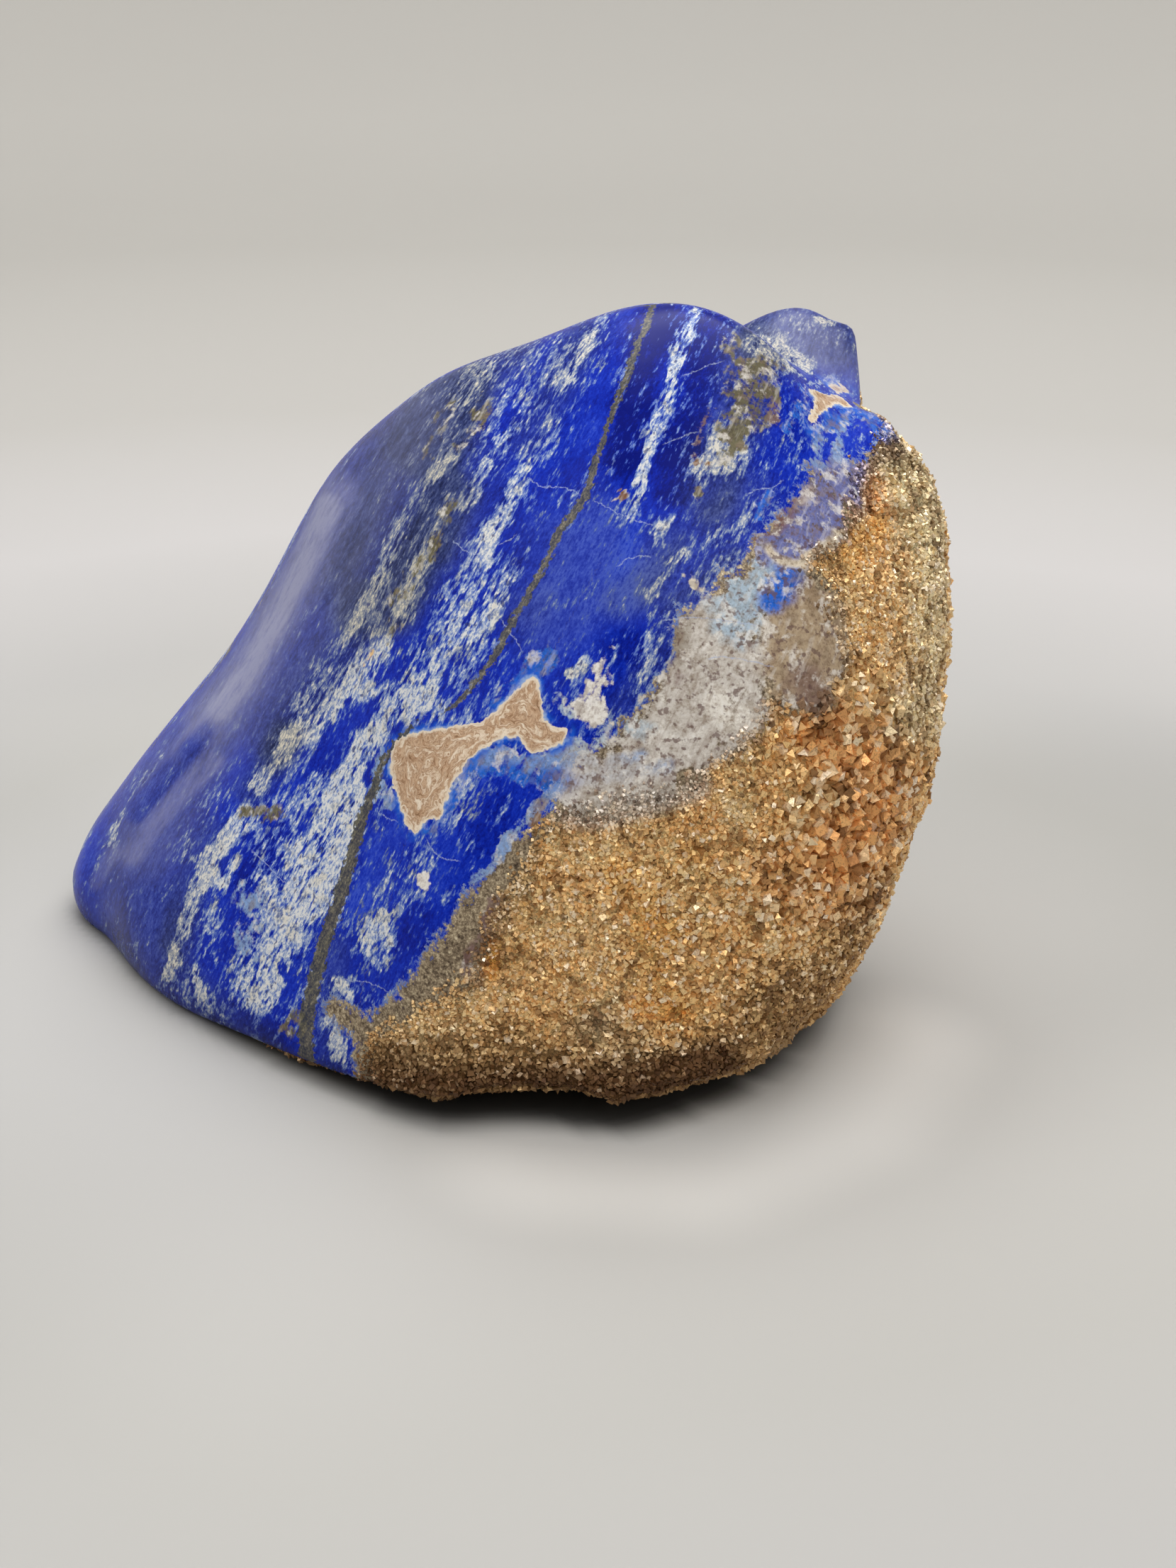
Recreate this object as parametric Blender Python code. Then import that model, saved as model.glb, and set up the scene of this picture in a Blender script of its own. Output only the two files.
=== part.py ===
"""A lapis lazuli freeform: one natural stone, ground smooth on its long sloping face
and left with a rough pyrite rind on its rounded right end.

The stone stands on a flat spot ground under it, in the plane z = 0. Its low nose
points left and back, its crest rises towards the right, and behind the crest a small
lobe stands over a notch. X runs along the stone, Y away from the sloping face, Z up.
"""

import math

import bmesh
import bpy
import numpy as np
from mathutils import Vector
from mathutils.bvhtree import BVHTree

MM = 0.001

# The stone is drawn as cross-sections square to X, in millimetres. Each one has thirteen
# points (y, z), in order: heel of the front edge, toe, low front, middle front, high
# front, front shoulder, crest, saddle, lobe or back shoulder, high back, middle back,
# back toe, base. The base points lie under z = 0, because the stone is cut flat there.
# ORIGIN is the point of the drawing that lies under the middle of the whole stone.
ORIGIN = (0.2, 5.15, 0.0)
NOSE_TIP = (-87.4, 42.0, 6.5)
END_TIP = (87.4, 8.0, 70.0)
SECTIONS = [
    (-86.0, [(37, 3), (36, 4), (36, 6), (37, 8), (39, 9.5), (41, 10), (43, 10), (45, 9.5), (47, 8.5), (48, 7), (48, 5), (46, 3.5), (42, 2.5)]),
    (-83.0, [(35, -1), (31, 1), (30, 5), (31, 10), (34, 14), (38, 16), (42, 16.5), (46, 16), (50, 14), (53, 10), (53, 6), (51, 1), (43, -2)]),
    (-78.0, [(34, -3), (25, 0.5), (23, 6), (25, 13), (30, 19), (36, 23), (42, 24), (48, 23), (54, 19.5), (58, 13), (58, 7), (54, 1), (43, -4)]),
    (-70.0, [(22, -3), (10.5, 0.5), (8, 8), (12, 17), (20, 26), (30, 31.5), (40, 34.5), (49, 33.5), (57, 28.5), (62, 19), (62, 10), (57, 1.5), (38, -5)]),
    (-58.0, [(8, -3), (-6, 0.5), (-8, 9), (-3, 21), (8, 34), (22, 43.5), (37, 49), (49, 48), (59, 41), (65, 28), (65, 14), (59, 2), (31, -6)]),
    (-45.0, [(0, -3), (-18.5, 1.5), (-20, 10), (-15, 25), (-2, 43), (16, 58), (36, 67), (50, 64.5), (60, 54), (66, 38), (66, 18), (60, 3), (26, -6)]),
    (-30.0, [(-8, -3), (-31.5, 2.2), (-33, 10.5), (-27, 28), (-12, 52), (9, 76), (33, 92), (49, 89), (60, 76), (66, 54), (66, 26), (60, 4), (20, -6)]),
    (-17.0, [(-16, -3), (-42, 3), (-43, 12), (-38, 32), (-23, 60), (-1, 88.3), (28, 105.5), (46, 101.5), (58, 86), (64, 61), (64, 30), (57, 5), (16, -6)]),
    (-5.0, [(-20, -3), (-48.5, 3.8), (-51, 14), (-47, 38), (-32, 70), (-9, 99.5), (21, 115), (41, 110), (55, 92), (61, 66), (61, 32), (54, 5), (12, -6)]),
    (10.0, [(-17, -3), (-47.5, 5), (-53, 15), (-51, 42), (-37, 77), (-14, 106), (14, 122), (36, 116), (51, 97), (58, 70), (57, 34), (50, 6), (12, -6)]),
    (26.0, [(-20, -3), (-50.5, 4.6), (-56, 17), (-55, 46), (-42, 83), (-20, 112.5), (8, 129.6), (31, 121.5), (49, 102), (55, 74), (54, 37), (46, 8), (12, -6)]),
    (42.0, [(-15, -3), (-46.5, 6.2), (-54, 20), (-54, 49), (-43, 83), (-22, 111), (4, 130.6), (25, 121.5), (46, 114), (54, 84), (51, 45), (42, 11), (12, -5)]),
    (54.0, [(-8, -3), (-37, 7), (-48, 21), (-50, 50), (-40, 83), (-21, 107), (2, 123), (23, 120), (44, 122.5), (55, 92), (49, 52), (38, 16), (12, -2)]),
    (63.0, [(-6, 0.5), (-24, 7.5), (-40, 24), (-43, 53), (-34, 83), (-17, 103), (5, 114.5), (24, 117), (43, 123), (54, 92), (45, 58), (34, 24), (13, 2)]),
    (68.5, [(-2, 6), (-18, 11.5), (-34, 28), (-37, 55), (-28, 83), (-12, 101.8), (8, 111.8), (25, 113.5), (42, 121), (51, 90), (42, 60), (31, 31), (14, 8)]),
    (70.5, [(-0.6, 8.4), (-15.6, 13.9), (-31.4, 29.9), (-34.3, 55.8), (-25.5, 82.6), (-9.9, 101.2), (9, 111), (24.5, 110.5), (40, 116.5), (50, 89.4), (40.8, 60.7), (29.8, 33.8), (14, 10.5)]),
    (71.0, [(-0.3, 9.1), (-15, 14.6), (-30.7, 30.4), (-33.5, 56), (-24.9, 82.5), (-9.3, 101), (9.2, 110.8), (24.2, 108.5), (35.5, 105), (48, 88.5), (40.4, 60.9), (29.5, 34.5), (14, 11.2)]),
    (74.0, [(1.7, 14), (-11.5, 19.5), (-26.3, 34.5), (-28.8, 57.3), (-20.8, 81.2), (-6.2, 99.8), (10.6, 109.1), (23, 106), (34, 102.5), (45, 86), (37.6, 62.2), (27.4, 39), (14, 16.5)]),
    (78.0, [(4, 23), (-6.8, 27), (-19.5, 41), (-21.3, 59), (-15, 79), (-2, 97), (12, 106), (23, 103), (32, 98), (37, 80), (32, 64), (24, 45), (14, 25.5)]),
    (82.5, [(5, 35), (-2, 38), (-11, 49), (-12, 62), (-8, 78), (2, 93), (12, 101), (20, 98), (27, 90), (29, 78), (26, 65), (19, 52), (13, 37)]),
    (85.5, [(5, 49), (1, 52), (-3, 58), (-4, 66), (-2, 76), (3, 86), (9, 92), (15, 90), (20, 84), (22, 76), (20, 67), (15, 57), (10, 50)]),
]
CENTRE = (2.0, 4.0, 52.0)
LONG_WAY = Vector((-0.85, 0.35, -0.40)).normalized()
LONGER = 0.6
RING_STEPS = 8
RAIL_STEPS = 6
SUBDIVISIONS = 5


def spline(points, knots, steps, closed):
    """Points on the curve of even curvature through these points, with this many steps
    between each two. A closed curve has one knot more than it has points."""
    p = np.asarray(points, float)
    n = len(p)
    gap = np.diff(np.asarray(knots, float))
    rise = (np.roll(p, -1, axis=0)[: len(gap)] - p[: len(gap)]) / gap.reshape(
        (-1,) + (1,) * (p.ndim - 1)
    )
    lhs = np.zeros((n, n))
    rhs = np.zeros_like(p)
    for i in range(n):
        if closed or 0 < i < n - 1:
            before, after = gap[i - 1], gap[i]
            lhs[i, (i - 1) % n] += after
            lhs[i, i] += 2 * (before + after)
            lhs[i, (i + 1) % n] += before
            rhs[i] = 3 * (after * rise[i - 1] + before * rise[i])
        else:
            side = 0 if i == 0 else n - 2
            lhs[i, i] = 2
            lhs[i, 1 if i == 0 else n - 2] = 1
            rhs[i] = 3 * rise[side]
    slope = np.linalg.solve(lhs, rhs.reshape(n, -1)).reshape(p.shape)
    out = []
    for i in range(len(gap)):
        j = (i + 1) % n
        for t in np.arange(steps) / steps:
            out.append(
                (2 * t**3 - 3 * t**2 + 1) * p[i]
                + (t**3 - 2 * t**2 + t) * gap[i] * slope[i]
                + (3 * t**2 - 2 * t**3) * p[j]
                + (t**3 - t**2) * gap[i] * slope[j]
            )
    if not closed:
        out.append(p[-1])
    return np.array(out)


def skin():
    """The smooth skin over the cross-sections, as points and faces."""
    around = RING_STEPS * len(SECTIONS[0][1])
    rings = [np.tile(NOSE_TIP, (around, 1))]
    for x, ring in SECTIONS:
        smooth = spline(ring, range(len(ring) + 1), RING_STEPS, True)
        rings.append(np.column_stack([np.full(around, x), smooth]))
    rings.append(np.tile(END_TIP, (around, 1)))
    rings = np.array(rings)
    # The rails along the stone run from tip to tip, with knots as far apart as the rings.
    apart = np.linalg.norm(np.diff(rings, axis=0), axis=2).mean(axis=1)
    knots = np.concatenate([[0.0], np.cumsum(apart)])
    rails = spline(rings, knots, RAIL_STEPS, False)[1:-1]
    points = [Vector(NOSE_TIP), Vector(END_TIP)]
    points += [Vector(p) for ring in rails for p in ring]
    faces = []
    last = 2 + (len(rails) - 1) * around
    for j in range(around):
        k = (j + 1) % around
        faces.append((0, 2 + k, 2 + j))
        faces.append((1, last + j, last + k))
        for i in range(len(rails) - 1):
            a, b = 2 + i * around, 2 + (i + 1) * around
            faces.append((a + j, a + k, b + k, b + j))
    return points, faces


def stone():
    """The stone: a ball whose points are pushed out to the skin, cut flat underneath."""
    points, faces = skin()
    tree = BVHTree.FromPolygons(points, faces)
    centre = Vector(CENTRE)
    bm = bmesh.new()
    bmesh.ops.create_icosphere(bm, subdivisions=SUBDIVISIONS, radius=1.0)
    for v in bm.verts:
        # More of the points go to the far nose, where the skin curves tightly.
        way = (v.co + LONG_WAY * v.co.dot(LONG_WAY) * LONGER).normalized()
        v.co = tree.ray_cast(centre + way * 200.0, -way)[0]
    cut = bmesh.ops.bisect_plane(
        bm,
        geom=bm.verts[:] + bm.edges[:] + bm.faces[:],
        dist=0.1,
        plane_co=(0, 0, 0),
        plane_no=(0, 0, -1),
        clear_outer=True,
    )
    rim = [e for e in cut["geom_cut"] if isinstance(e, bmesh.types.BMEdge)]
    for edge in rim:
        for v in edge.verts:
            v.co.z = 0.0
    bmesh.ops.contextual_create(bm, geom=rim)
    bmesh.ops.recalc_face_normals(bm, faces=bm.faces)
    bmesh.ops.translate(bm, vec=-Vector(ORIGIN), verts=bm.verts)
    bmesh.ops.scale(bm, vec=(MM, MM, MM), verts=bm.verts)
    mesh = bpy.data.meshes.new("lapis_freeform")
    bm.to_mesh(mesh)
    bm.free()
    mesh.shade_smooth()
    mesh.set_sharp_from_angle(angle=math.radians(50))
    obj = bpy.data.objects.new("lapis_freeform", mesh)
    bpy.context.scene.collection.objects.link(obj)
    return obj


def polished_lapis():
    material = bpy.data.materials.new("polished_lapis")
    material.use_nodes = True
    bsdf = material.node_tree.nodes["Principled BSDF"]
    bsdf.inputs["Base Color"].default_value = (0.013, 0.025, 0.42, 1.0)
    bsdf.inputs["Roughness"].default_value = 0.25
    bsdf.inputs["Metallic"].default_value = 0.0
    return material


for old in list(bpy.data.objects):
    bpy.data.objects.remove(old, do_unlink=True)

stone().data.materials.append(polished_lapis())
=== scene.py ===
"""The looks of the lapis lazuli freeform: its polished blue face with veins and pale
streaks, its grey and golden pyrite end with real grains, a pale stage and soft light.
"""

import math

import bpy
import numpy as np
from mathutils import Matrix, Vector
from mathutils.bvhtree import BVHTree


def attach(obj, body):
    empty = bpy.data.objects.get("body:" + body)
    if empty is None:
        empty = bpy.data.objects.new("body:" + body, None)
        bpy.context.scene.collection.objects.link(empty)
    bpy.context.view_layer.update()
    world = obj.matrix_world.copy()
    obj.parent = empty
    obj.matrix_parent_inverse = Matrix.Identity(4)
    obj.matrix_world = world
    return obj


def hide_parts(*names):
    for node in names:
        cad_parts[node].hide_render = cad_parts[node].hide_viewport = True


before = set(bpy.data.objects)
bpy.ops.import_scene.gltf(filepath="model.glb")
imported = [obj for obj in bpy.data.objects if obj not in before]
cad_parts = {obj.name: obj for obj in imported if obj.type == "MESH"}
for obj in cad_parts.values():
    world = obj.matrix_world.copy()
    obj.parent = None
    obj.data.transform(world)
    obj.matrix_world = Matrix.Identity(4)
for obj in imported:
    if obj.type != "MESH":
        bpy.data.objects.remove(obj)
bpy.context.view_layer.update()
MM = 0.001

# ---------------------------------------------------------------------------------
# The form: the same cross-sections as the solid's, in millimetres (see ORIGIN there).
ORIGIN = np.array((0.2, 5.15, 0.0))
NOSE_TIP = (-87.4, 42.0, 6.5)
END_TIP = (87.4, 8.0, 70.0)
SECTIONS = [
    (-86.0, [(37, 3), (36, 4), (36, 6), (37, 8), (39, 9.5), (41, 10), (43, 10), (45, 9.5), (47, 8.5), (48, 7), (48, 5), (46, 3.5), (42, 2.5)]),
    (-83.0, [(35, -1), (31, 1), (30, 5), (31, 10), (34, 14), (38, 16), (42, 16.5), (46, 16), (50, 14), (53, 10), (53, 6), (51, 1), (43, -2)]),
    (-78.0, [(34, -3), (25, 0.5), (23, 6), (25, 13), (30, 19), (36, 23), (42, 24), (48, 23), (54, 19.5), (58, 13), (58, 7), (54, 1), (43, -4)]),
    (-70.0, [(22, -3), (10.5, 0.5), (8, 8), (12, 17), (20, 26), (30, 31.5), (40, 34.5), (49, 33.5), (57, 28.5), (62, 19), (62, 10), (57, 1.5), (38, -5)]),
    (-58.0, [(8, -3), (-6, 0.5), (-8, 9), (-3, 21), (8, 34), (22, 43.5), (37, 49), (49, 48), (59, 41), (65, 28), (65, 14), (59, 2), (31, -6)]),
    (-45.0, [(0, -3), (-18.5, 1.5), (-20, 10), (-15, 25), (-2, 43), (16, 58), (36, 67), (50, 64.5), (60, 54), (66, 38), (66, 18), (60, 3), (26, -6)]),
    (-30.0, [(-8, -3), (-31.5, 2.2), (-33, 10.5), (-27, 28), (-12, 52), (9, 76), (33, 92), (49, 89), (60, 76), (66, 54), (66, 26), (60, 4), (20, -6)]),
    (-17.0, [(-16, -3), (-42, 3), (-43, 12), (-38, 32), (-23, 60), (-1, 88.3), (28, 105.5), (46, 101.5), (58, 86), (64, 61), (64, 30), (57, 5), (16, -6)]),
    (-5.0, [(-20, -3), (-48.5, 3.8), (-51, 14), (-47, 38), (-32, 70), (-9, 99.5), (21, 115), (41, 110), (55, 92), (61, 66), (61, 32), (54, 5), (12, -6)]),
    (10.0, [(-17, -3), (-47.5, 5), (-53, 15), (-51, 42), (-37, 77), (-14, 106), (14, 122), (36, 116), (51, 97), (58, 70), (57, 34), (50, 6), (12, -6)]),
    (26.0, [(-20, -3), (-50.5, 4.6), (-56, 17), (-55, 46), (-42, 83), (-20, 112.5), (8, 129.6), (31, 121.5), (49, 102), (55, 74), (54, 37), (46, 8), (12, -6)]),
    (42.0, [(-15, -3), (-46.5, 6.2), (-54, 20), (-54, 49), (-43, 83), (-22, 111), (4, 130.6), (25, 121.5), (46, 114), (54, 84), (51, 45), (42, 11), (12, -5)]),
    (54.0, [(-8, -3), (-37, 7), (-48, 21), (-50, 50), (-40, 83), (-21, 107), (2, 123), (23, 120), (44, 122.5), (55, 92), (49, 52), (38, 16), (12, -2)]),
    (63.0, [(-6, 0.5), (-24, 7.5), (-40, 24), (-43, 53), (-34, 83), (-17, 103), (5, 114.5), (24, 117), (43, 123), (54, 92), (45, 58), (34, 24), (13, 2)]),
    (68.5, [(-2, 6), (-18, 11.5), (-34, 28), (-37, 55), (-28, 83), (-12, 101.8), (8, 111.8), (25, 113.5), (42, 121), (51, 90), (42, 60), (31, 31), (14, 8)]),
    (70.5, [(-0.6, 8.4), (-15.6, 13.9), (-31.4, 29.9), (-34.3, 55.8), (-25.5, 82.6), (-9.9, 101.2), (9, 111), (24.5, 110.5), (40, 116.5), (50, 89.4), (40.8, 60.7), (29.8, 33.8), (14, 10.5)]),
    (71.0, [(-0.3, 9.1), (-15, 14.6), (-30.7, 30.4), (-33.5, 56), (-24.9, 82.5), (-9.3, 101), (9.2, 110.8), (24.2, 108.5), (35.5, 105), (48, 88.5), (40.4, 60.9), (29.5, 34.5), (14, 11.2)]),
    (74.0, [(1.7, 14), (-11.5, 19.5), (-26.3, 34.5), (-28.8, 57.3), (-20.8, 81.2), (-6.2, 99.8), (10.6, 109.1), (23, 106), (34, 102.5), (45, 86), (37.6, 62.2), (27.4, 39), (14, 16.5)]),
    (78.0, [(4, 23), (-6.8, 27), (-19.5, 41), (-21.3, 59), (-15, 79), (-2, 97), (12, 106), (23, 103), (32, 98), (37, 80), (32, 64), (24, 45), (14, 25.5)]),
    (82.5, [(5, 35), (-2, 38), (-11, 49), (-12, 62), (-8, 78), (2, 93), (12, 101), (20, 98), (27, 90), (29, 78), (26, 65), (19, 52), (13, 37)]),
    (85.5, [(5, 49), (1, 52), (-3, 58), (-4, 66), (-2, 76), (3, 86), (9, 92), (15, 90), (20, 84), (22, 76), (20, 67), (15, 57), (10, 50)]),
]
CENTRE = np.array((2.0, 4.0, 52.0))
RING_STEPS = 8
RAIL_STEPS = 6


def spline(points, knots, steps, closed):
    """Points on the curve of even curvature through these points, with this many steps
    between each two. A closed curve has one knot more than it has points."""
    p = np.asarray(points, float)
    n = len(p)
    gap = np.diff(np.asarray(knots, float))
    rise = (np.roll(p, -1, axis=0)[: len(gap)] - p[: len(gap)]) / gap.reshape(
        (-1,) + (1,) * (p.ndim - 1)
    )
    lhs = np.zeros((n, n))
    rhs = np.zeros_like(p)
    for i in range(n):
        if closed or 0 < i < n - 1:
            before, after = gap[i - 1], gap[i]
            lhs[i, (i - 1) % n] += after
            lhs[i, i] += 2 * (before + after)
            lhs[i, (i + 1) % n] += before
            rhs[i] = 3 * (after * rise[i - 1] + before * rise[i])
        else:
            side = 0 if i == 0 else n - 2
            lhs[i, i] = 2
            lhs[i, 1 if i == 0 else n - 2] = 1
            rhs[i] = 3 * rise[side]
    slope = np.linalg.solve(lhs, rhs.reshape(n, -1)).reshape(p.shape)
    out = []
    for i in range(len(gap)):
        j = (i + 1) % n
        for t in np.arange(steps) / steps:
            out.append(
                (2 * t**3 - 3 * t**2 + 1) * p[i]
                + (t**3 - 2 * t**2 + t) * gap[i] * slope[i]
                + (3 * t**2 - 2 * t**3) * p[j]
                + (t**3 - t**2) * gap[i] * slope[j]
            )
    if not closed:
        out.append(p[-1])
    return np.array(out)


def skin():
    """The smooth skin over the cross-sections, as points and faces."""
    around = RING_STEPS * len(SECTIONS[0][1])
    rings = [np.tile(NOSE_TIP, (around, 1))]
    for x, ring in SECTIONS:
        smooth = spline(ring, range(len(ring) + 1), RING_STEPS, True)
        rings.append(np.column_stack([np.full(around, x), smooth]))
    rings.append(np.tile(END_TIP, (around, 1)))
    rings = np.array(rings)
    apart = np.linalg.norm(np.diff(rings, axis=0), axis=2).mean(axis=1)
    knots = np.concatenate([[0.0], np.cumsum(apart)])
    rails = spline(rings, knots, RAIL_STEPS, False)[1:-1]
    points = [Vector(NOSE_TIP), Vector(END_TIP)]
    points += [Vector(p) for ring in rails for p in ring]
    faces = []
    last = 2 + (len(rails) - 1) * around
    for j in range(around):
        k = (j + 1) % around
        faces.append((0, 2 + k, 2 + j))
        faces.append((1, last + j, last + k))
        for i in range(len(rails) - 1):
            a, b = 2 + i * around, 2 + (i + 1) * around
            faces.append((a + j, a + k, b + k, b + j))
    return points, faces


# ---------------------------------------------------------------------------------
# The camera. Marks on the stone are laid out as seen through it, on a sheet of
# 1659 x 2212 units, and carried onto the skin along its lines of sight.
WIDE, HIGH = 1659, 2212
FOCAL = 3300.0
PITCH = math.radians(22.0)
EYE = np.array((20.0, -404.0, 207.0))
AHEAD = np.array((0.0, math.cos(PITCH), -math.sin(PITCH)))
ABOVE = np.array((0.0, math.sin(PITCH), math.cos(PITCH)))


def seen_at(p):
    """Where points of the drawing appear on the sheet."""
    q = p - EYE
    depth = q @ AHEAD
    return np.stack(
        [WIDE / 2 + FOCAL * q[:, 0] / depth, HIGH / 2 - FOCAL * (q @ ABOVE) / depth], 1
    )


def lift(tree, path, steps=6):
    """The points of the skin behind a path on the sheet."""
    found = []
    for (a, b), (c, d) in zip(path[:-1], path[1:]):
        for t in np.arange(steps) / steps:
            u, v = a + (c - a) * t, b + (d - b) * t
            way = Vector(
                AHEAD + (u - WIDE / 2) / FOCAL * np.array((1.0, 0, 0)) - (v - HIGH / 2) / FOCAL * ABOVE
            ).normalized()
            spot = tree.ray_cast(Vector(EYE), way)[0]
            if spot is not None:
                found.append(tuple(spot))
    return np.array(found)


def smooth(low, high, x):
    t = np.clip((x - low) / (high - low), 0, 1)
    return t * t * (3 - 2 * t)


def off_path(p, path):
    """How far each point is from a path, which side of it it is on, and how far along."""
    best = np.full(len(p), 1e9)
    side = np.ones(len(p))
    along = np.zeros(len(p))
    gone = 0.0
    for a, b in zip(np.array(path[:-1], float), np.array(path[1:], float)):
        ab = b - a
        size = np.hypot(*ab)
        t = np.clip(((p - a) @ ab) / max(size**2, 1e-9), 0, 1)
        off = p - a - t[:, None] * ab
        d = np.hypot(off[:, 0], off[:, 1])
        cross = ab[0] * (p[:, 1] - a[1]) - ab[1] * (p[:, 0] - a[0])
        near = d < best
        best[near] = d[near]
        side[near] = np.where(cross[near] > 0, 1, -1)
        along[near] = gone + t[near] * size
        gone += size
    return best, side, along


def inside(p, outline):
    """How far points are inside a closed outline, less than nothing outside it."""
    closed = list(outline) + [outline[0]]
    d = off_path(p, closed)[0]
    x, y = p[:, 0], p[:, 1]
    within = np.zeros(len(p), bool)
    for (ax, ay), (bx, by) in zip(closed[:-1], closed[1:]):
        if ay == by:
            continue
        crosses = (ay > y) != (by > y)
        within ^= crosses & (x < (bx - ax) * (y - ay) / (by - ay) + ax)
    return np.where(within, d, -d)


def strokes(p, rows, start=0.0):
    """The sum of soft strokes: each row has an amount, a half width and a path."""
    total = np.full(len(p), start)
    for amount, width, path in rows:
        path = path if len(path) > 1 else [path[0], (path[0][0] + 0.5, path[0][1])]
        reach = width * 1.5
        q = np.array(path, float)
        close = np.flatnonzero(
            (p > q.min(0) - reach).all(1) & (p < q.max(0) + reach).all(1)
        )
        d = off_path(p[close], path)[0]
        total[close] += amount * (1 - smooth(0.45 * width, reach, d))
    return total


# The two pyrite veins. Each point has its place and the vein's half width there.
UPPER_VEIN = [(926, 418, 5.5), (921, 428, 5.5), (908, 462, 5.5), (892, 503, 6.2), (880, 540, 6.2), (868, 568, 5.5), (852, 612, 5.5), (841, 643, 5.5), (834, 672, 6.2), (823, 700, 7), (806, 724, 7), (788, 748, 7), (775, 782, 6.2), (761, 809, 6.2), (742, 843, 6.2), (723, 878, 6.2), (705, 912, 6.2), (686, 943, 6.2), (664, 972, 5.5), (643, 992, 3.9), (628, 1004, 0.8)]
LOWER_VEIN = [(592, 1018, 1), (574, 1032, 4), (556, 1050, 5), (542, 1070, 6), (532, 1094, 7), (526, 1113, 8), (516, 1136, 8), (508, 1158, 10), (499, 1190, 10), (492, 1216, 10), (483, 1248, 11), (473, 1281, 11), (464, 1308, 12), (455, 1335, 12), (447, 1362, 12), (440, 1390, 13), (435, 1416, 13), (431, 1442, 14), (430, 1466, 14), (432, 1500, 14), (434, 1530, 14)]

# Lines that the layers of the stone follow, and how far each layer is from the veins.
LAYERS = [
    (0, [(x, y) for x, y, w in UPPER_VEIN[1:] + [(610, 1010, 0)] + LOWER_VEIN[1:]]),
    (11, [(976, 450), (970, 476), (956, 514), (938, 562), (921, 610), (908, 659), (892, 696), (873, 728)]),
    (-10, [(852, 445), (830, 487), (798, 535), (770, 600), (739, 659), (707, 723), (680, 800), (655, 850), (630, 900), (595, 950), (555, 1000), (515, 1055), (489, 1100), (460, 1150), (430, 1230), (400, 1300), (381, 1400)]),
    (-27, [(350, 1140), (325, 1160), (285, 1204), (264, 1257), (242, 1343), (225, 1386)]),
    (-30, [(600, 555), (590, 600), (560, 700), (530, 760), (500, 850), (470, 905), (420, 960), (390, 1010), (350, 1050), (300, 1100), (270, 1150), (245, 1230), (235, 1290), (215, 1350)]),
    (-48, [(470, 680), (450, 740), (405, 840), (345, 930), (280, 1020), (215, 1090), (160, 1190), (135, 1250)]),
    (30, [(1090, 480), (1070, 560), (1040, 640), (1000, 720)]),
    (24, [(799, 1107), (735, 1177), (660, 1252), (601, 1332), (542, 1413)]),
]

# Patches of brown and cream calcite with a light blue rim.
TAN = [
    [(574, 1036), (600, 1031), (628, 1025), (655, 1022), (678, 1018), (700, 1002), (719, 984), (736, 964), (752, 950), (760, 962), (764, 982), (766, 1000), (770, 1018), (782, 1024), (798, 1026), (803, 1034), (800, 1043), (784, 1053), (764, 1060), (750, 1063), (741, 1052), (732, 1041), (716, 1040), (700, 1046), (682, 1056), (664, 1069), (652, 1084), (642, 1102), (632, 1124), (626, 1142), (620, 1156), (604, 1156), (594, 1163), (584, 1178), (574, 1166), (568, 1148), (560, 1124), (553, 1102), (549, 1082), (552, 1062), (560, 1046)],
    [(1143, 548), (1156, 543), (1176, 541), (1192, 545), (1199, 556), (1206, 572), (1192, 574), (1180, 570), (1170, 575), (1160, 582), (1152, 594), (1147, 603), (1142, 588), (1147, 572), (1150, 562)],
]

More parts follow.
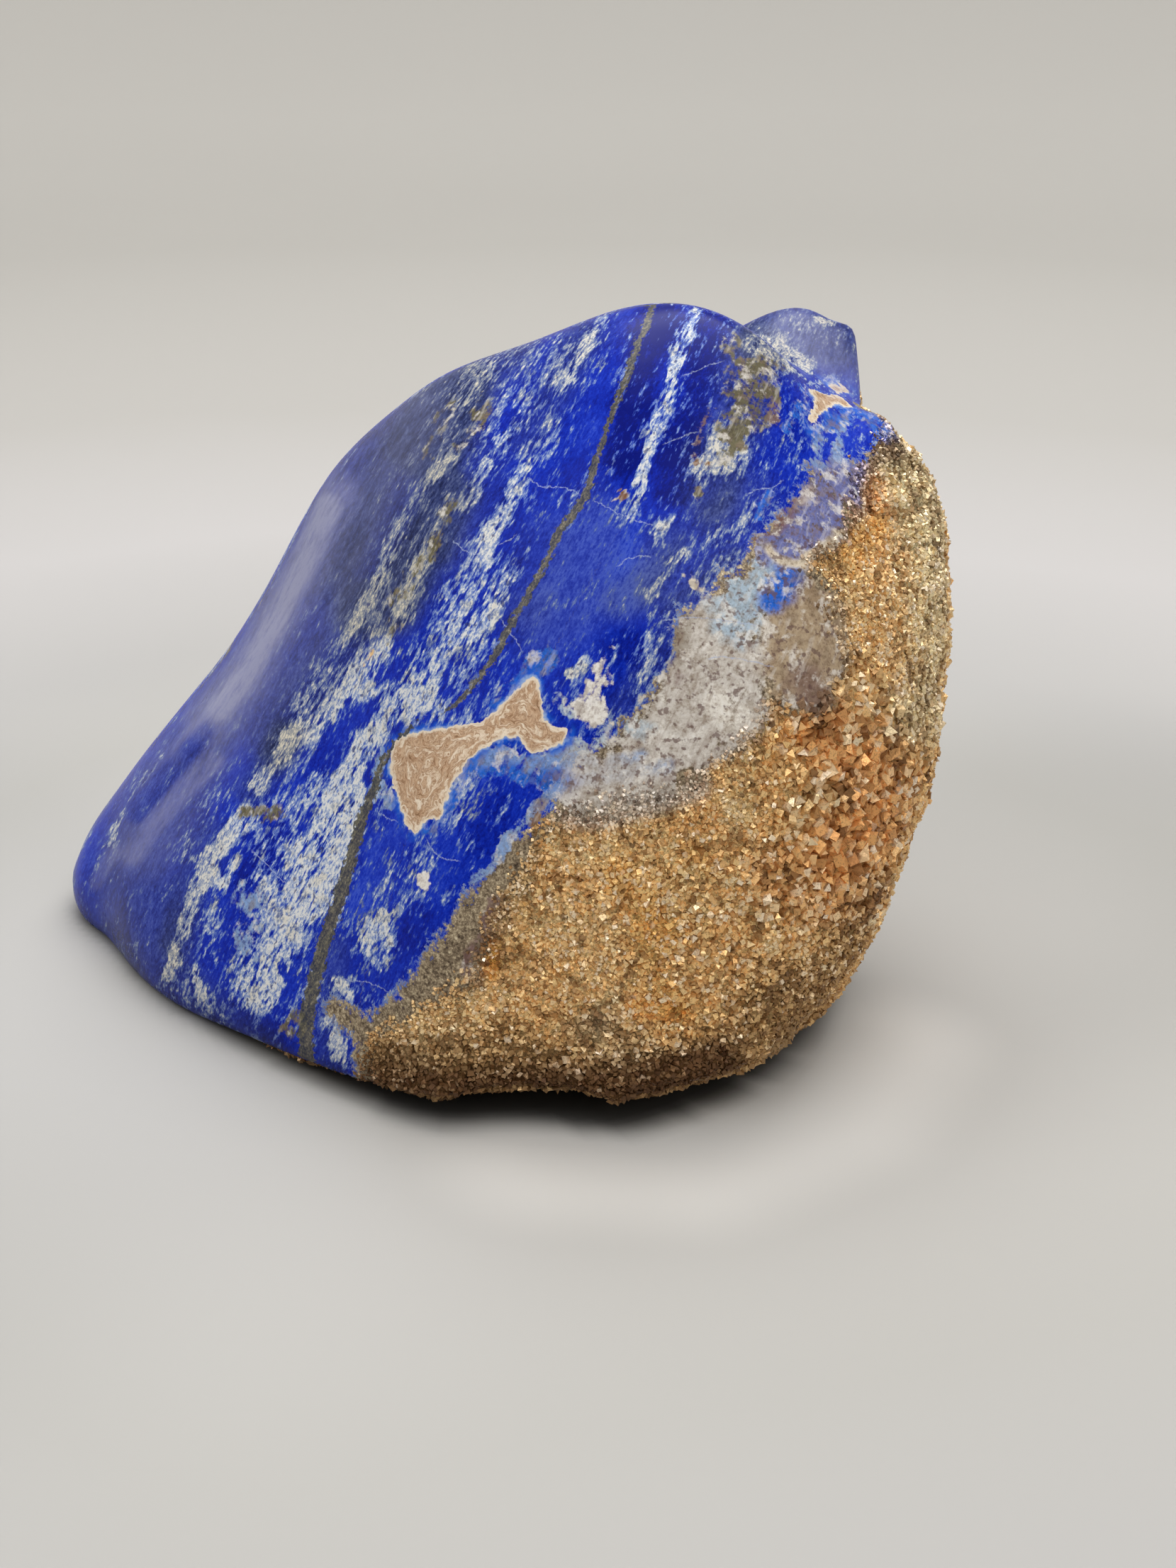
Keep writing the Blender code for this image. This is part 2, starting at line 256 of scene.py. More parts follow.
# Pale flecks of calcite: amount, half width, path. Less than nothing keeps it blue.
PALE = [
    (-0.30, 48, [(520, 620), (470, 700), (430, 790), (400, 860), (340, 940), (280, 1010), (215, 1090), (165, 1180), (140, 1250)]),
    (-0.25, 42, [(560, 600), (530, 680), (490, 780), (450, 860), (400, 950), (340, 1010), (270, 1090), (215, 1180), (190, 1260), (195, 1330)]),
    (0.30, 6, [(492, 645), (474, 690)]),
    (0.30, 5, [(560, 650), (532, 704)]),
    (0.06, 48, [(650, 540), (620, 620), (600, 700), (570, 780), (540, 850)]),
    (0.40, 11, [(690, 650), (665, 700), (648, 726)]),
    (0.50, 10, [(612, 670), (640, 640)]),
    (0.42, 12, [(830, 470), (812, 500)]),
    (0.45, 9, [(735, 600), (708, 622)]),
    (0.30, 30, [(770, 490), (722, 560), (690, 620)]),
    (0.40, 16, [(858, 438), (838, 485), (818, 515), (795, 545)]),
    (0.30, 20, [(795, 545), (775, 590)]),
    (0.42, 15, [(748, 640), (728, 684), (704, 734), (692, 756)]),
    (0.16, 36, [(690, 760), (664, 824), (680, 866)]),
    (0.24, 46, [(700, 800), (670, 860), (640, 910), (604, 950)]),
    (0.42, 18, [(600, 800), (575, 862)]),
    (0.37, 18, [(545, 912), (500, 956), (460, 1000), (430, 1034)]),
    (0.40, 10, [(560, 740), (540, 800), (505, 862), (478, 906)]),
    (-0.45, 17, [(650, 740), (620, 800), (596, 860), (572, 916), (550, 942)]),
    (-0.60, 15, [(704, 694), (686, 722)]),
    (-0.45, 12, [(724, 744), (702, 812)]),
    (0.30, 12, [(522, 964), (482, 1010)]),
    (0.30, 40, [(560, 860), (500, 940), (440, 1020)]),
    (0.10, 44, [(610, 600), (580, 680), (545, 770), (505, 850)]),
    (0.35, 26, [(262, 1390), (300, 1430), (350, 1466)]),
    (0.62, 19, [(604, 985), (560, 1004), (522, 1036), (500, 1068)]),
    (-0.40, 16, [(500, 1002), (478, 1040), (470, 1060)]),
    (0.10, 18, [(560, 925), (520, 985)]),
    (0.30, 16, [(442, 945), (424, 984)]),
    (0.50, 10, [(915, 630), (900, 680)]),
    (0.40, 12, [(975, 650), (960, 672)]),
    (0.20, 22, [(650, 890), (620, 930)]),
    (0.60, 4, [(226, 1062), (192, 1110), (168, 1158), (156, 1192), (140, 1222), (122, 1246)]),
    (0.50, 6, [(176, 1148), (152, 1196)]),
    (0.30, 5, [(216, 1058), (238, 1078)]),
    (0.30, 18, [(322, 1096), (284, 1124), (262, 1162), (252, 1200)]),
    (-0.35, 14, [(366, 1056), (330, 1094)]),
    (0.62, 15, [(402, 1048), (388, 1078), (364, 1106)]),
    (0.20, 14, [(424, 1006), (404, 1050)]),
    (0.92, 13, [(346, 1144), (326, 1160), (302, 1196), (284, 1214), (296, 1238)]),
    (0.45, 6, [(380, 1140), (340, 1182)]),
    (0.85, 7, [(334, 1208), (312, 1248)]),
    (0.60, 13, [(278, 1250), (264, 1290), (256, 1312)]),
    (0.95, 9, [(248, 1338), (238, 1376)]),
    (0.75, 6, [(277, 1368), (284, 1412)]),
    (0.35, 17, [(302, 1296), (296, 1350)]),
    (0.16, 22, [(322, 1350), (330, 1400), (362, 1424)]),
    (0.22, 18, [(1040, 796), (990, 832), (946, 876), (934, 930), (892, 986), (858, 1022)]),
    (0.35, 22, [(620, 1080), (650, 1100)]),
    (-0.30, 7, [(366, 1196), (344, 1244), (322, 1286)]),
    (1.50, 26, [(482, 1130), (470, 1170), (462, 1200), (452, 1232), (440, 1262)]),
    (1.40, 17, [(434, 1268), (416, 1300), (396, 1338), (386, 1376), (379, 1402)]),
    (0.85, 16, [(542, 1028), (512, 1058), (492, 1090), (480, 1122)]),
    (0.42, 26, [(440, 1110), (410, 1160), (388, 1210), (366, 1262)]),
    (-0.30, 10, [(396, 1172), (380, 1232)]),
    (0.30, 26, [(580, 1000), (640, 1010), (690, 1000)]),
    (0.12, 30, [(650, 860), (620, 920), (570, 950)]),
    (0.35, 16, [(718, 816), (702, 862)]),
    (0.08, 16, [(376, 1196), (362, 1240)]),
    (0.40, 16, [(440, 1330), (424, 1372)]),
    (0.25, 16, [(712, 690), (700, 740), (690, 790)]),
    (0.30, 16, [(900, 820), (880, 860)]),
    (0.26, 34, [(570, 1210), (560, 1290), (540, 1370)]),
    (0.50, 28, [(436, 1200), (430, 1250), (396, 1300), (366, 1350), (350, 1400)]),
    (0.45, 30, [(520, 1230), (500, 1300), (476, 1380)]),
    (0.40, 20, [(690, 500), (650, 560)]),
    (0.35, 18, [(600, 960), (560, 970), (540, 990)]),
    (0.35, 14, [(640, 700), (610, 760), (590, 800)]),
    (-1.30, 8, [(394, 1354), (398, 1372)]),
    (-0.45, 15, [(340, 1440), (400, 1468), (424, 1484)]),
    (-0.50, 20, [(546, 1166), (522, 1230), (500, 1292), (482, 1366)]),
    (0.85, 8, [(541, 1292), (540, 1318)]),
    (0.40, 13, [(520, 1296), (514, 1336)]),
    (0.42, 8, [(556, 1326), (546, 1372)]),
    (0.40, 18, [(668, 1146), (656, 1216)]),
    (-0.60, 15, [(592, 1284), (572, 1338), (560, 1372)]),
    (-0.45, 12, [(482, 1356), (532, 1378)]),
    (0.75, 6, [(474, 1380), (488, 1404)]),
    (0.75, 10, [(466, 1430), (470, 1460), (484, 1496)]),
    (0.85, 6, [(488, 1436), (490, 1456)]),
    (-0.28, 22, [(862, 524), (832, 600), (812, 664)]),
    (-0.60, 14, [(806, 556), (798, 640)]),
    (-1.2, 28, [(916, 440), (908, 500), (896, 556), (874, 636), (852, 692)]),
    (0.85, 4, [(942, 430), (930, 452), (921, 486)]),
    (0.66, 14, [(990, 430), (980, 452), (968, 478), (955, 514), (938, 562), (922, 608), (909, 652), (900, 680), (886, 710), (872, 732)]),
    (-1.1, 24, [(1012, 462), (992, 540), (972, 600), (952, 660), (934, 704)]),
    (0.12, 22, [(1084, 486), (1062, 520), (1100, 540)]),
    (0.45, 10, [(1030, 542), (1046, 518)]),
    (0.72, 24, [(1020, 620), (1008, 644), (980, 674)]),
    (0.40, 18, [(1052, 620), (1036, 672)]),
    (0.45, 10, [(1062, 600), (1046, 636)]),
    (-0.60, 12, [(1008, 508), (1032, 522)]),
    (-0.50, 12, [(1112, 556), (1100, 602)]),
    (-0.60, 12, [(1114, 672), (1096, 696)]),
    (-0.35, 60, [(846, 764), (830, 826), (794, 868)]),
    (-0.50, 42, [(888, 800), (852, 878), (770, 880)]),
    (0.55, 12, [(938, 728), (916, 758), (908, 792)]),
    (0.55, 12, [(962, 778), (932, 830), (904, 842)]),
    (0.30, 14, [(926, 858), (880, 882)]),
    (0.45, 12, [(1062, 718), (1040, 750), (1008, 762)]),
    (0.85, 8, [(822, 928), (804, 952)]),
    (-0.40, 12, [(784, 954), (788, 980)]),
    (-0.50, 22, [(700, 942), (664, 984)]),
    (-0.45, 14, [(870, 950), (880, 1000)]),
    (-0.40, 26, [(960, 690), (1020, 700), (1060, 690)]),
    (0.35, 16, [(916, 900), (896, 950)]),
    (0.50, 10, [(1058, 468), (1098, 488), (1142, 516)]),
    (0.45, 9, [(1058, 490), (1098, 510), (1130, 526)]),
    (0.30, 5, [(1098, 448), (1132, 460)]),
    (0.35, 4, [(1140, 444), (1180, 458), (1198, 470)]),
    (0.26, 12, [(1118, 452), (1150, 470), (1190, 500)]),
    (0.55, 9, [(1120, 512), (1150, 534), (1180, 536)]),
    (0.45, 7, [(1090, 470), (1124, 492), (1150, 512)]),
    (0.40, 7, [(1150, 448), (1184, 470), (1206, 500)]),
    (-0.35, 16, [(1160, 512), (1196, 504)]),
    (-0.55, 30, [(700, 1112), (690, 1160), (660, 1210)]),
    (-0.50, 20, [(650, 1260), (618, 1290)]),
    (0.30, 20, [(668, 1092), (652, 1140)]),
]

# The shade of the blue: more is lighter and more violet, less is darker.
SHADE = [
    (0.68, 60, [(846, 764), (836, 826), (794, 868)]),
    (0.40, 36, [(890, 800), (850, 872)]),
    (0.05, 18, [(862, 540), (836, 600), (816, 664)]),
    (-0.35, 44, [(540, 600), (500, 700), (460, 800)]),
    (-1.2, 28, [(926, 440), (910, 500), (900, 540), (878, 640)]),
    (-1.1, 26, [(1006, 460), (988, 540), (966, 610), (944, 690)]),
    (-0.40, 30, [(860, 900), (900, 920), (930, 960)]),
    (0.70, 24, [(552, 1176), (530, 1230), (512, 1280)]),
    (0.45, 30, [(620, 1190), (600, 1250)]),
    (0.45, 20, [(650, 1090), (680, 1080), (720, 1080)]),
    (-0.35, 24, [(700, 1130), (690, 1170)]),
    (-0.50, 16, [(592, 1284), (572, 1338)]),
    (-0.35, 20, [(560, 760), (530, 820), (500, 870)]),
    (-0.35, 14, [(396, 1172), (380, 1232)]),
    (-0.35, 10, [(366, 1196), (344, 1244), (322, 1286)]),
    (-0.30, 30, [(680, 690), (720, 760), (700, 800)]),
    (0.35, 30, [(1200, 610), (1160, 640)]),
    (-0.50, 26, [(960, 440), (950, 470)]),
    (0.35, 22, [(124, 1220), (140, 1280)]),
]

# Where the blue is dull and its flecks are grey and buff.
GREY = [
    (0.75, 52, [(700, 480), (650, 540), (606, 620)]),
    (0.88, 66, [(622, 560), (592, 650), (560, 740), (524, 830)]),
    (0.75, 36, [(640, 700), (606, 780), (560, 860)]),
    (0.70, 38, [(520, 860), (474, 920), (426, 990), (392, 1050)]),
    (0.55, 24, [(402, 1040), (380, 1080), (352, 1116)]),
    (0.62, 60, [(490, 620), (450, 760), (400, 860), (330, 980), (240, 1100), (190, 1220), (200, 1330)]),
    (0.45, 26, [(300, 1180), (270, 1250), (250, 1330)]),
    (0.45, 30, [(258, 1380), (300, 1430), (360, 1470)]),
    (0.70, 42, [(1058, 500), (1046, 580), (1010, 650), (1000, 700)]),
    (0.40, 40, [(1060, 700), (1000, 770), (930, 830)]),
    (0.45, 26, [(820, 470), (790, 540), (740, 620)]),
    (0.30, 50, [(840, 740), (820, 840), (760, 880)]),
    (1.00, 50, [(1090, 470), (1180, 480)]),
    (0.45, 26, [(1040, 796), (960, 860), (934, 930), (880, 1000)]),
    (0.45, 30, [(940, 760), (910, 820), (880, 850)]),
    (0.45, 24, [(470, 1340), (460, 1420), (470, 1500)]),
    (0.30, 30, [(690, 650), (690, 720), (650, 780)]),
    (0.25, 40, [(760, 760), (740, 850)]),
    (0.25, 40, [(850, 450), (760, 510)]),
]

# A painted sheen: a pale violet haze painted into the colour where the flank turns away, and on the lobe, standing in
# for a reflection of the light there.
PAINTED_SHEEN = [
    (0.18, 58, [(570, 590), (505, 700), (450, 820), (400, 900), (340, 980), (262, 1080), (205, 1180)]),
    (0.48, 19, [(462, 716), (428, 796), (386, 880), (347, 952), (310, 1000)]),
    (0.30, 36, [(468, 700), (428, 796), (386, 880), (347, 952), (296, 1016)]),
    (0.26, 15, [(300, 1074), (262, 1108), (225, 1150), (186, 1206)]),
    (-0.28, 13, [(290, 1034), (240, 1085), (190, 1146)]),
    (0.25, 10, [(160, 1200), (136, 1246)]),
    (0.34, 30, [(1120, 460), (1160, 490), (1190, 530)]),
]

# Hairlines of calcite that cross the layers.
HAIRS = [
    [(744, 672), (758, 684), (774, 686), (792, 686), (806, 690), (818, 698)],
    [(834, 704), (852, 712), (872, 724), (898, 734), (926, 742)],
    [(934, 626), (950, 620), (968, 614), (990, 606)],
    [(962, 530), (984, 522), (1006, 512), (1022, 508)],
    [(700, 768), (716, 762), (728, 752)],
    [(868, 800), (884, 788), (902, 784), (920, 786)],
    [(930, 876), (956, 872), (980, 870), (1010, 874), (1042, 878), (1068, 882)],
    [(996, 930), (1018, 926), (1044, 930), (1072, 936), (1092, 942)],
    [(706, 872), (718, 892), (730, 906), (738, 920)],
    [(530, 1146), (540, 1150), (550, 1156), (562, 1159)],
    [(352, 1198), (372, 1216), (392, 1238), (408, 1250)],
    [(470, 1376), (490, 1384), (512, 1384), (534, 1392), (548, 1400)],
    [(600, 1180), (610, 1200), (626, 1212), (650, 1214)],
    [(636, 760), (654, 776), (676, 782), (690, 796)],
    [(560, 980), (584, 992), (604, 1010)],
    [(1050, 700), (1068, 690), (1090, 688), (1106, 676)],
]

# Low swells and hollows of the polished face: height in millimetres, half width, path.
DENTS = [
    (-0.35, 26, [(425, 690), (398, 780), (372, 850), (330, 910), (280, 980), (225, 1040)]),
    (0.40, 24, [(480, 720), (452, 810), (424, 880), (380, 940), (330, 1000), (270, 1060)]),
    (-0.25, 18, [(330, 1030), (270, 1090), (215, 1150), (170, 1200)]),
]

# Colours of minerals other than the blue, as sRGB; glint is the near white of painted highlights, and umber also
# paints shade.
INK = {
    "cream": (228, 216, 194),
    "chalk": (210, 204, 197),
    "white": (244, 240, 232),
    "sky": (138, 168, 216),
    "ice": (174, 194, 212),
    "azure": (40, 104, 214),
    "lilac": (114, 120, 178),
    "olive": (104, 98, 70),
    "brown": (128, 88, 50),
    "plum": (128, 102, 98),
    "taupe": (182, 162, 136),
    "stone": (132, 118, 98),
    "gold": (240, 202, 140),
    "straw": (248, 220, 164),
    "glint": (252, 230, 188),
    "ochre": (238, 194, 120),
    "rust": (216, 160, 98),
    "orange": (246, 186, 96),
    "moss": (238, 226, 184),
    "umber": (108, 78, 48),
}


def ink(name):
    c = np.array(INK[name]) / 255.0
    return np.where(c <= 0.04045, c / 12.92, ((c + 0.055) / 1.055) ** 2.4)


# Patches and spots in the polished part, in the order in which they lie on each other:
# colour, amount, how soft the edge is, outline. Then strokes: colour, amount, half width.
PATCHES = [
    ("chalk", 0.95, 44, [(962, 862), (998, 850), (1010, 886), (1046, 898), (1082, 890), (1092, 930), (1074, 960), (1098, 992), (1080, 1024), (1050, 1048), (1012, 1066), (984, 1090), (944, 1114), (900, 1112), (868, 1086), (862, 1050), (876, 1024), (902, 996), (930, 962), (950, 930), (956, 892)]),
    ("taupe", 1.0, 30, [(1118, 806), (1152, 812), (1180, 842), (1190, 884), (1196, 940), (1184, 990), (1150, 1010), (1108, 992), (1094, 958), (1080, 922), (1088, 880), (1106, 846)]),
    ("ice", 0.95, 30, [(1008, 818), (1040, 798), (1090, 792), (1128, 798), (1114, 836), (1094, 862), (1074, 890), (1042, 902), (1010, 888), (1000, 856)]),
    ("lilac", 0.92, 28, [(1150, 652), (1200, 648), (1216, 664), (1208, 700), (1196, 734), (1182, 760), (1152, 782), (1110, 792), (1078, 782), (1060, 764), (1090, 746), (1112, 716), (1132, 684)]),
    ("white", 0.95, 18, [(850, 928), (858, 962), (862, 1000), (852, 1022), (832, 1032), (812, 1014), (808, 990), (826, 970), (840, 946)]),
]
SPOTS = [
    ("azure", 1.0, 22, [(1110, 816), (1092, 848)]),
    ("azure", 0.75, 14, [(758, 934), (776, 924), (768, 948)]),
    ("azure", 0.55, 10, [(700, 988), (728, 966), (748, 940)]),
    ("azure", 0.70, 13, [(1152, 604), (1182, 590), (1212, 582), (1254, 610)]),
    ("azure", 0.60, 11, [(1112, 602), (1130, 580), (1136, 552)]),
    ("sky", 0.50, 9, [(1162, 608), (1150, 650)]),
    ("sky", 0.50, 8, [(1192, 600), (1180, 648)]),
    ("sky", 0.75, 8, [(760, 1062), (800, 1066), (850, 1080), (886, 1074), (908, 1062)]),
    ("sky", 0.75, 10, [(800, 1094), (850, 1100), (900, 1092), (944, 1078)]),
    ("azure", 0.75, 22, [(680, 1072), (742, 1080), (800, 1100)]),
    ("sky", 0.70, 12, [(680, 1070), (712, 1062), (748, 1076), (790, 1072)]),
    ("ice", 0.60, 9, [(806, 1050), (826, 1056), (850, 1050)]),
    ("sky", 0.65, 8, [(792, 1108), (744, 1150), (710, 1192), (664, 1244)]),
    ("azure", 0.55, 14, [(656, 1082), (628, 1136), (602, 1166)]),
    ("sky", 0.65, 12, [(540, 1108), (544, 1134)]),
    ("sky", 0.45, 22, [(352, 1268), (350, 1310), (352, 1340)]),
    ("azure", 0.50, 9, [(1078, 696), (1064, 732)]),
    ("olive", 0.42, 17, [(1030, 486), (1046, 510), (1030, 544)]),
    ("olive", 0.60, 30, [(1080, 530), (1062, 570), (1050, 600)]),
    ("olive", 0.42, 16, [(1012, 580), (1030, 606)]),
    ("olive", 0.45, 18, [(1044, 616), (1022, 640)]),
    ("brown", 0.50, 9, [(984, 640), (992, 652)]),
    ("plum", 0.60, 6, [(996, 588), (984, 616)]),
    ("olive", 0.45, 9, [(982, 694), (990, 706)]),
    ("plum", 0.55, 8, [(1092, 570), (1086, 590)]),
    ("brown", 0.80, 5, [(876, 692), (870, 700)]),
    ("brown", 0.70, 4, [(1062, 756), (1086, 750)]),
    ("brown", 0.50, 9, [(1098, 738), (1118, 712)]),
    ("taupe", 0.60, 7, [(1128, 712), (1142, 690)]),
    ("cream", 0.95, 8, [(1086, 770), (1102, 785), (1130, 790), (1160, 775), (1182, 754)]),
    ("white", 0.75, 10, [(593, 1246)]),
    ("cream", 0.55, 7, [(972, 812), (986, 832)]),
    ("white", 0.80, 20, [(1012, 984), (1022, 1016), (1058, 1012)]),
    ("ice", 0.60, 14, [(890, 1020), (910, 1030)]),
    ("plum", 0.60, 6, [(960, 922), (968, 934)]),
    ("plum", 0.60, 6, [(956, 962), (964, 954)]),
    ("plum", 0.70, 24, [(1140, 956), (1150, 982)]),
    ("chalk", 0.75, 26, [(826, 1080), (870, 1096), (920, 1108)]),
    ("chalk", 0.85, 24, [(816, 1124), (870, 1132), (930, 1116)]),
    ("stone", 0.45, 16, [(964, 872), (958, 930)]),
    ("umber", 0.35, 14, [(1130, 815), (1150, 850)]),
    ("ice", 0.45, 9, [(790, 990), (802, 1014)]),
    ("sky", 0.50, 8, [(538, 1060), (530, 1110)]),
    ("plum", 0.50, 5, [(950, 1076), (962, 1074)]),
    ("plum", 0.50, 6, [(936, 1098), (948, 1100)]),
    ("plum", 0.45, 4, [(978, 1030), (972, 1022)]),
    ("olive", 0.45, 12, [(640, 700), (600, 790), (560, 850)]),
    ("olive", 0.45, 11, [(690, 560), (650, 620)]),
    ("olive", 0.40, 10, [(640, 560), (606, 640)]),
    ("olive", 0.35, 10, [(560, 880), (548, 900)]),
    ("ochre", 0.50, 5, [(528, 916), (518, 932)]),
    ("olive", 0.50, 12, [(396, 1140), (350, 1150)]),
    ("olive", 0.60, 14, [(424, 1436), (408, 1450)]),
    ("plum", 0.60, 24, [(668, 1372), (690, 1330), (706, 1286)]),
    ("brown", 0.50, 10, [(770, 1130), (748, 1180)]),
]

# The grey, still polished pyrite between the blue and the rind, and the rind itself.
BLUE_EDGE = [(1262, 604), (1238, 630), (1218, 650), (1200, 652), (1150, 655), (1128, 690), (1108, 720), (1088, 746), (1058, 762), (1052, 790), (1010, 812), (998, 848), (962, 858), (950, 892), (948, 930), (928, 960), (900, 994), (874, 1020), (862, 1040), (830, 1052), (812, 1078), (800, 1106), (773, 1139), (735, 1177), (700, 1216), (666, 1255), (636, 1297), (611, 1336), (581, 1380), (552, 1414), (522, 1431), (496, 1422), (470, 1412), (458, 1424), (474, 1440), (496, 1470), (500, 1510), (505, 1560)]
RIND = [(1264, 596), (1250, 622), (1232, 660), (1214, 704), (1206, 742), (1190, 766), (1168, 786), (1150, 800), (1176, 830), (1188, 862), (1196, 900), (1200, 950), (1180, 996), (1140, 1012), (1100, 994), (1088, 1000), (1078, 1030), (1046, 1056), (1008, 1076), (976, 1110), (930, 1132), (880, 1136), (830, 1140), (796, 1156), (766, 1182), (744, 1216), (722, 1258), (704, 1298), (694, 1328), (682, 1366), (656, 1400), (610, 1426), (562, 1452), (534, 1476), (520, 1500), (520, 1600), (900, 1800), (1500, 1500), (1500, 600), (1300, 560)]

# Stains of the rind, and painted shade along its bottom rim and its lower and right edges: colour, amount, half width,
# path.
STAINS_AND_PAINTED_SHADE = [
    ("moss", 0.80, 60, [(1290, 640), (1318, 760), (1322, 900), (1310, 990)]),
    ("gold", 0.55, 40, [(1262, 720), (1246, 860), (1256, 940)]),
    ("stone", 0.85, 24, [(1236, 632), (1258, 640)]),
    ("umber", 0.50, 12, [(1216, 690), (1228, 668)]),
    ("ochre", 0.80, 50, [(880, 1190), (960, 1230), (930, 1300)]),
    ("straw", 0.55, 26, [(830, 1120), (880, 1150)]),
    ("straw", 0.60, 20, [(1030, 1120), (1040, 1150)]),
    ("straw", 0.50, 22, [(1280, 690), (1290, 740)]),
    ("straw", 0.40, 26, [(1200, 840), (1216, 870)]),
    ("gold", 0.60, 40, [(840, 1150), (900, 1160), (1000, 1130)]),
    ("plum", 0.75, 20, [(1214, 650), (1216, 700), (1206, 744)]),
    ("rust", 0.70, 20, [(1240, 690), (1244, 732)]),
    ("ochre", 0.80, 20, [(1186, 792), (1214, 760), (1236, 744)]),
    ("straw", 0.60, 14, [(1166, 808), (1190, 800)]),
    ("rust", 0.80, 52, [(1150, 1024), (1206, 1064), (1246, 1104), (1220, 1170), (1186, 1196)]),
    ("rust", 0.60, 44, [(1100, 1232), (1160, 1262), (1226, 1262)]),
    ("gold", 0.75, 30, [(1064, 1010), (1086, 1046), (1104, 1086)]),
    ("chalk", 0.75, 24, [(802, 1146), (858, 1150), (916, 1130), (980, 1108)]),
    ("straw", 0.70, 24, [(788, 1190), (836, 1206), (900, 1184), (934, 1196)]),
    ("ochre", 0.70, 26, [(872, 1244), (944, 1266), (920, 1310)]),
    ("straw", 0.45, 44, [(740, 1290), (800, 1300), (850, 1330)]),
    ("orange", 0.80, 12, [(780, 1376), (812, 1364)]),
    ("orange", 0.90, 13, [(692, 1336), (690, 1372)]),
    ("ochre", 0.50, 22, [(900, 1330), (928, 1396), (962, 1430)]),
    ("orange", 0.55, 14, [(896, 1420), (960, 1432)]),
    ("stone", 0.55, 34, [(830, 1456), (900, 1490)]),
    ("gold", 0.55, 34, [(760, 1360), (820, 1390), (880, 1370)]),
    ("stone", 0.40, 20, [(864, 1406), (842, 1446)]),
    ("gold", 0.50, 30, [(960, 1270), (1010, 1300), (1000, 1380)]),
    # The next three rows are painted shade: umber along the bottom rim and lower right edge of the rind, where it
    # turns under.
    ("umber", 1.00, 46, [(520, 1540), (640, 1552), (760, 1540), (900, 1536), (1010, 1500)]),
    ("umber", 0.62, 38, [(1240, 1262), (1200, 1342), (1130, 1410), (1060, 1450)]),
    ("umber", 0.60, 40, [(560, 1500), (640, 1492), (700, 1480), (760, 1500)]),
    ("umber", 0.30, 30, [(1040, 1400), (1100, 1380)]),
    ("umber", 0.30, 40, [(1090, 1230), (1150, 1285)]),
    ("umber", 0.32, 30, [(1290, 960), (1268, 1080), (1284, 1180)]),
    ("umber", 0.60, 18, [(1222, 642), (1244, 630), (1262, 640)]),
    ("straw", 0.75, 24, [(1046, 1080), (1042, 1160)]),
    ("stone", 0.40, 22, [(742, 1200), (730, 1250)]),
    ("straw", 0.45, 40, [(930, 1230), (980, 1260)]),
    ("straw", 0.30, 40, [(760, 1380), (840, 1380)]),
    ("moss", 0.60, 34, [(1284, 680), (1296, 750)]),
    # Painted shade: umber along the right edge, where the rind turns away.
    ("umber", 0.38, 20, [(1300, 640), (1332, 760), (1342, 900), (1334, 1050), (1306, 1180), (1272, 1260)]),
]
# Painted glints in the rind: grains at these places are made near white, standing in for highlights, and smoother:
# place and radius on the sheet.
PAINTED_GLINTS = [(1035, 1140, 13), (1120, 1137, 8), (1126, 1160, 7), (1136, 1152, 6), (1026, 1246, 6), (1038, 1240, 6), (1058, 1242, 5), (1086, 1334, 12), (1228, 1300, 7), (996, 1352, 7), (1192, 1034, 10), (1210, 1046, 8), (1284, 1040, 9), (1310, 1036, 6), (1252, 1032, 6), (1062, 1386, 5), (868, 1410, 6), (944, 1290, 7), (1160, 1364, 5), (1146, 1186, 6), (800, 1296, 6), (870, 1338, 7), (1178, 1130, 8), (1150, 1120, 7), (774, 1186, 5), (664, 1404, 6), (642, 1450, 6), (1090, 1272, 6), (1140, 1274, 7), (980, 1280, 6)]

# ---------------------------------------------------------------------------------
points, faces = skin()
TREE = BVHTree.FromPolygons(points, faces)

LEVELS = [lift(TREE, path) for _, path in LAYERS]


def powers(p):
    x, y, z = (p / 100).T
    return np.stack(
        [np.ones_like(x), x, y, z, x * x, y * y, z * z, x * y, y * z, z * x]
        + [x**3, y**3, z**3, x * x * y, x * x * z, y * y * x, y * y * z, z * z * x, z * z * y, x * y * z],
        1,
    )


def layering():
    """A smooth field through the stone whose level surfaces pass through LAYERS."""
    rows = np.concatenate([powers(p) for p in LEVELS])
    want = np.concatenate([np.full(len(p), s, float) for p, (s, _) in zip(LEVELS, LAYERS)])
    hold = np.array([0] + [1e-3] * 3 + [0.01] * 6 + [0.03] * 10) * len(want)
    return np.linalg.solve(rows.T @ rows + np.diag(hold), rows.T @ want)


FIELD = layering()


def layer_of(p):
    return powers(p) @ FIELD


def hashed(i, j, k, seed):
    n = (i * 73856093) ^ (j * 19349663) ^ (k * 83492791) ^ (seed * 2654435761)
    n = (n ^ (n >> 13)) * 1274126177
    return ((n ^ (n >> 16)) & 0xFFFF) / 65535.0 * 2 - 1


def noise(p, size, seed=0, octaves=1, gain=0.5):
    """Smooth noise from -1 to 1 with features of about this size."""
    total, amount, weight = np.zeros(len(p)), 1.0, 0.0
    for o in range(octaves):
        q = p / size * 2**o + 37.7 * (o + seed)
        base = np.floor(q).astype(np.int64)
        f = q - base
        f = f * f * f * (f * (f * 6 - 15) + 10)
        value = np.zeros(len(p))
        for dx in (0, 1):
            for dy in (0, 1):
                for dz in (0, 1):
                    w = (
                        (f[:, 0] if dx else 1 - f[:, 0])
                        * (f[:, 1] if dy else 1 - f[:, 1])
                        * (f[:, 2] if dz else 1 - f[:, 2])
                    )
                    value += w * hashed(base[:, 0] + dx, base[:, 1] + dy, base[:, 2] + dz, seed + o)
        total += amount * value
        weight += amount
        amount *= gain
    return total / weight


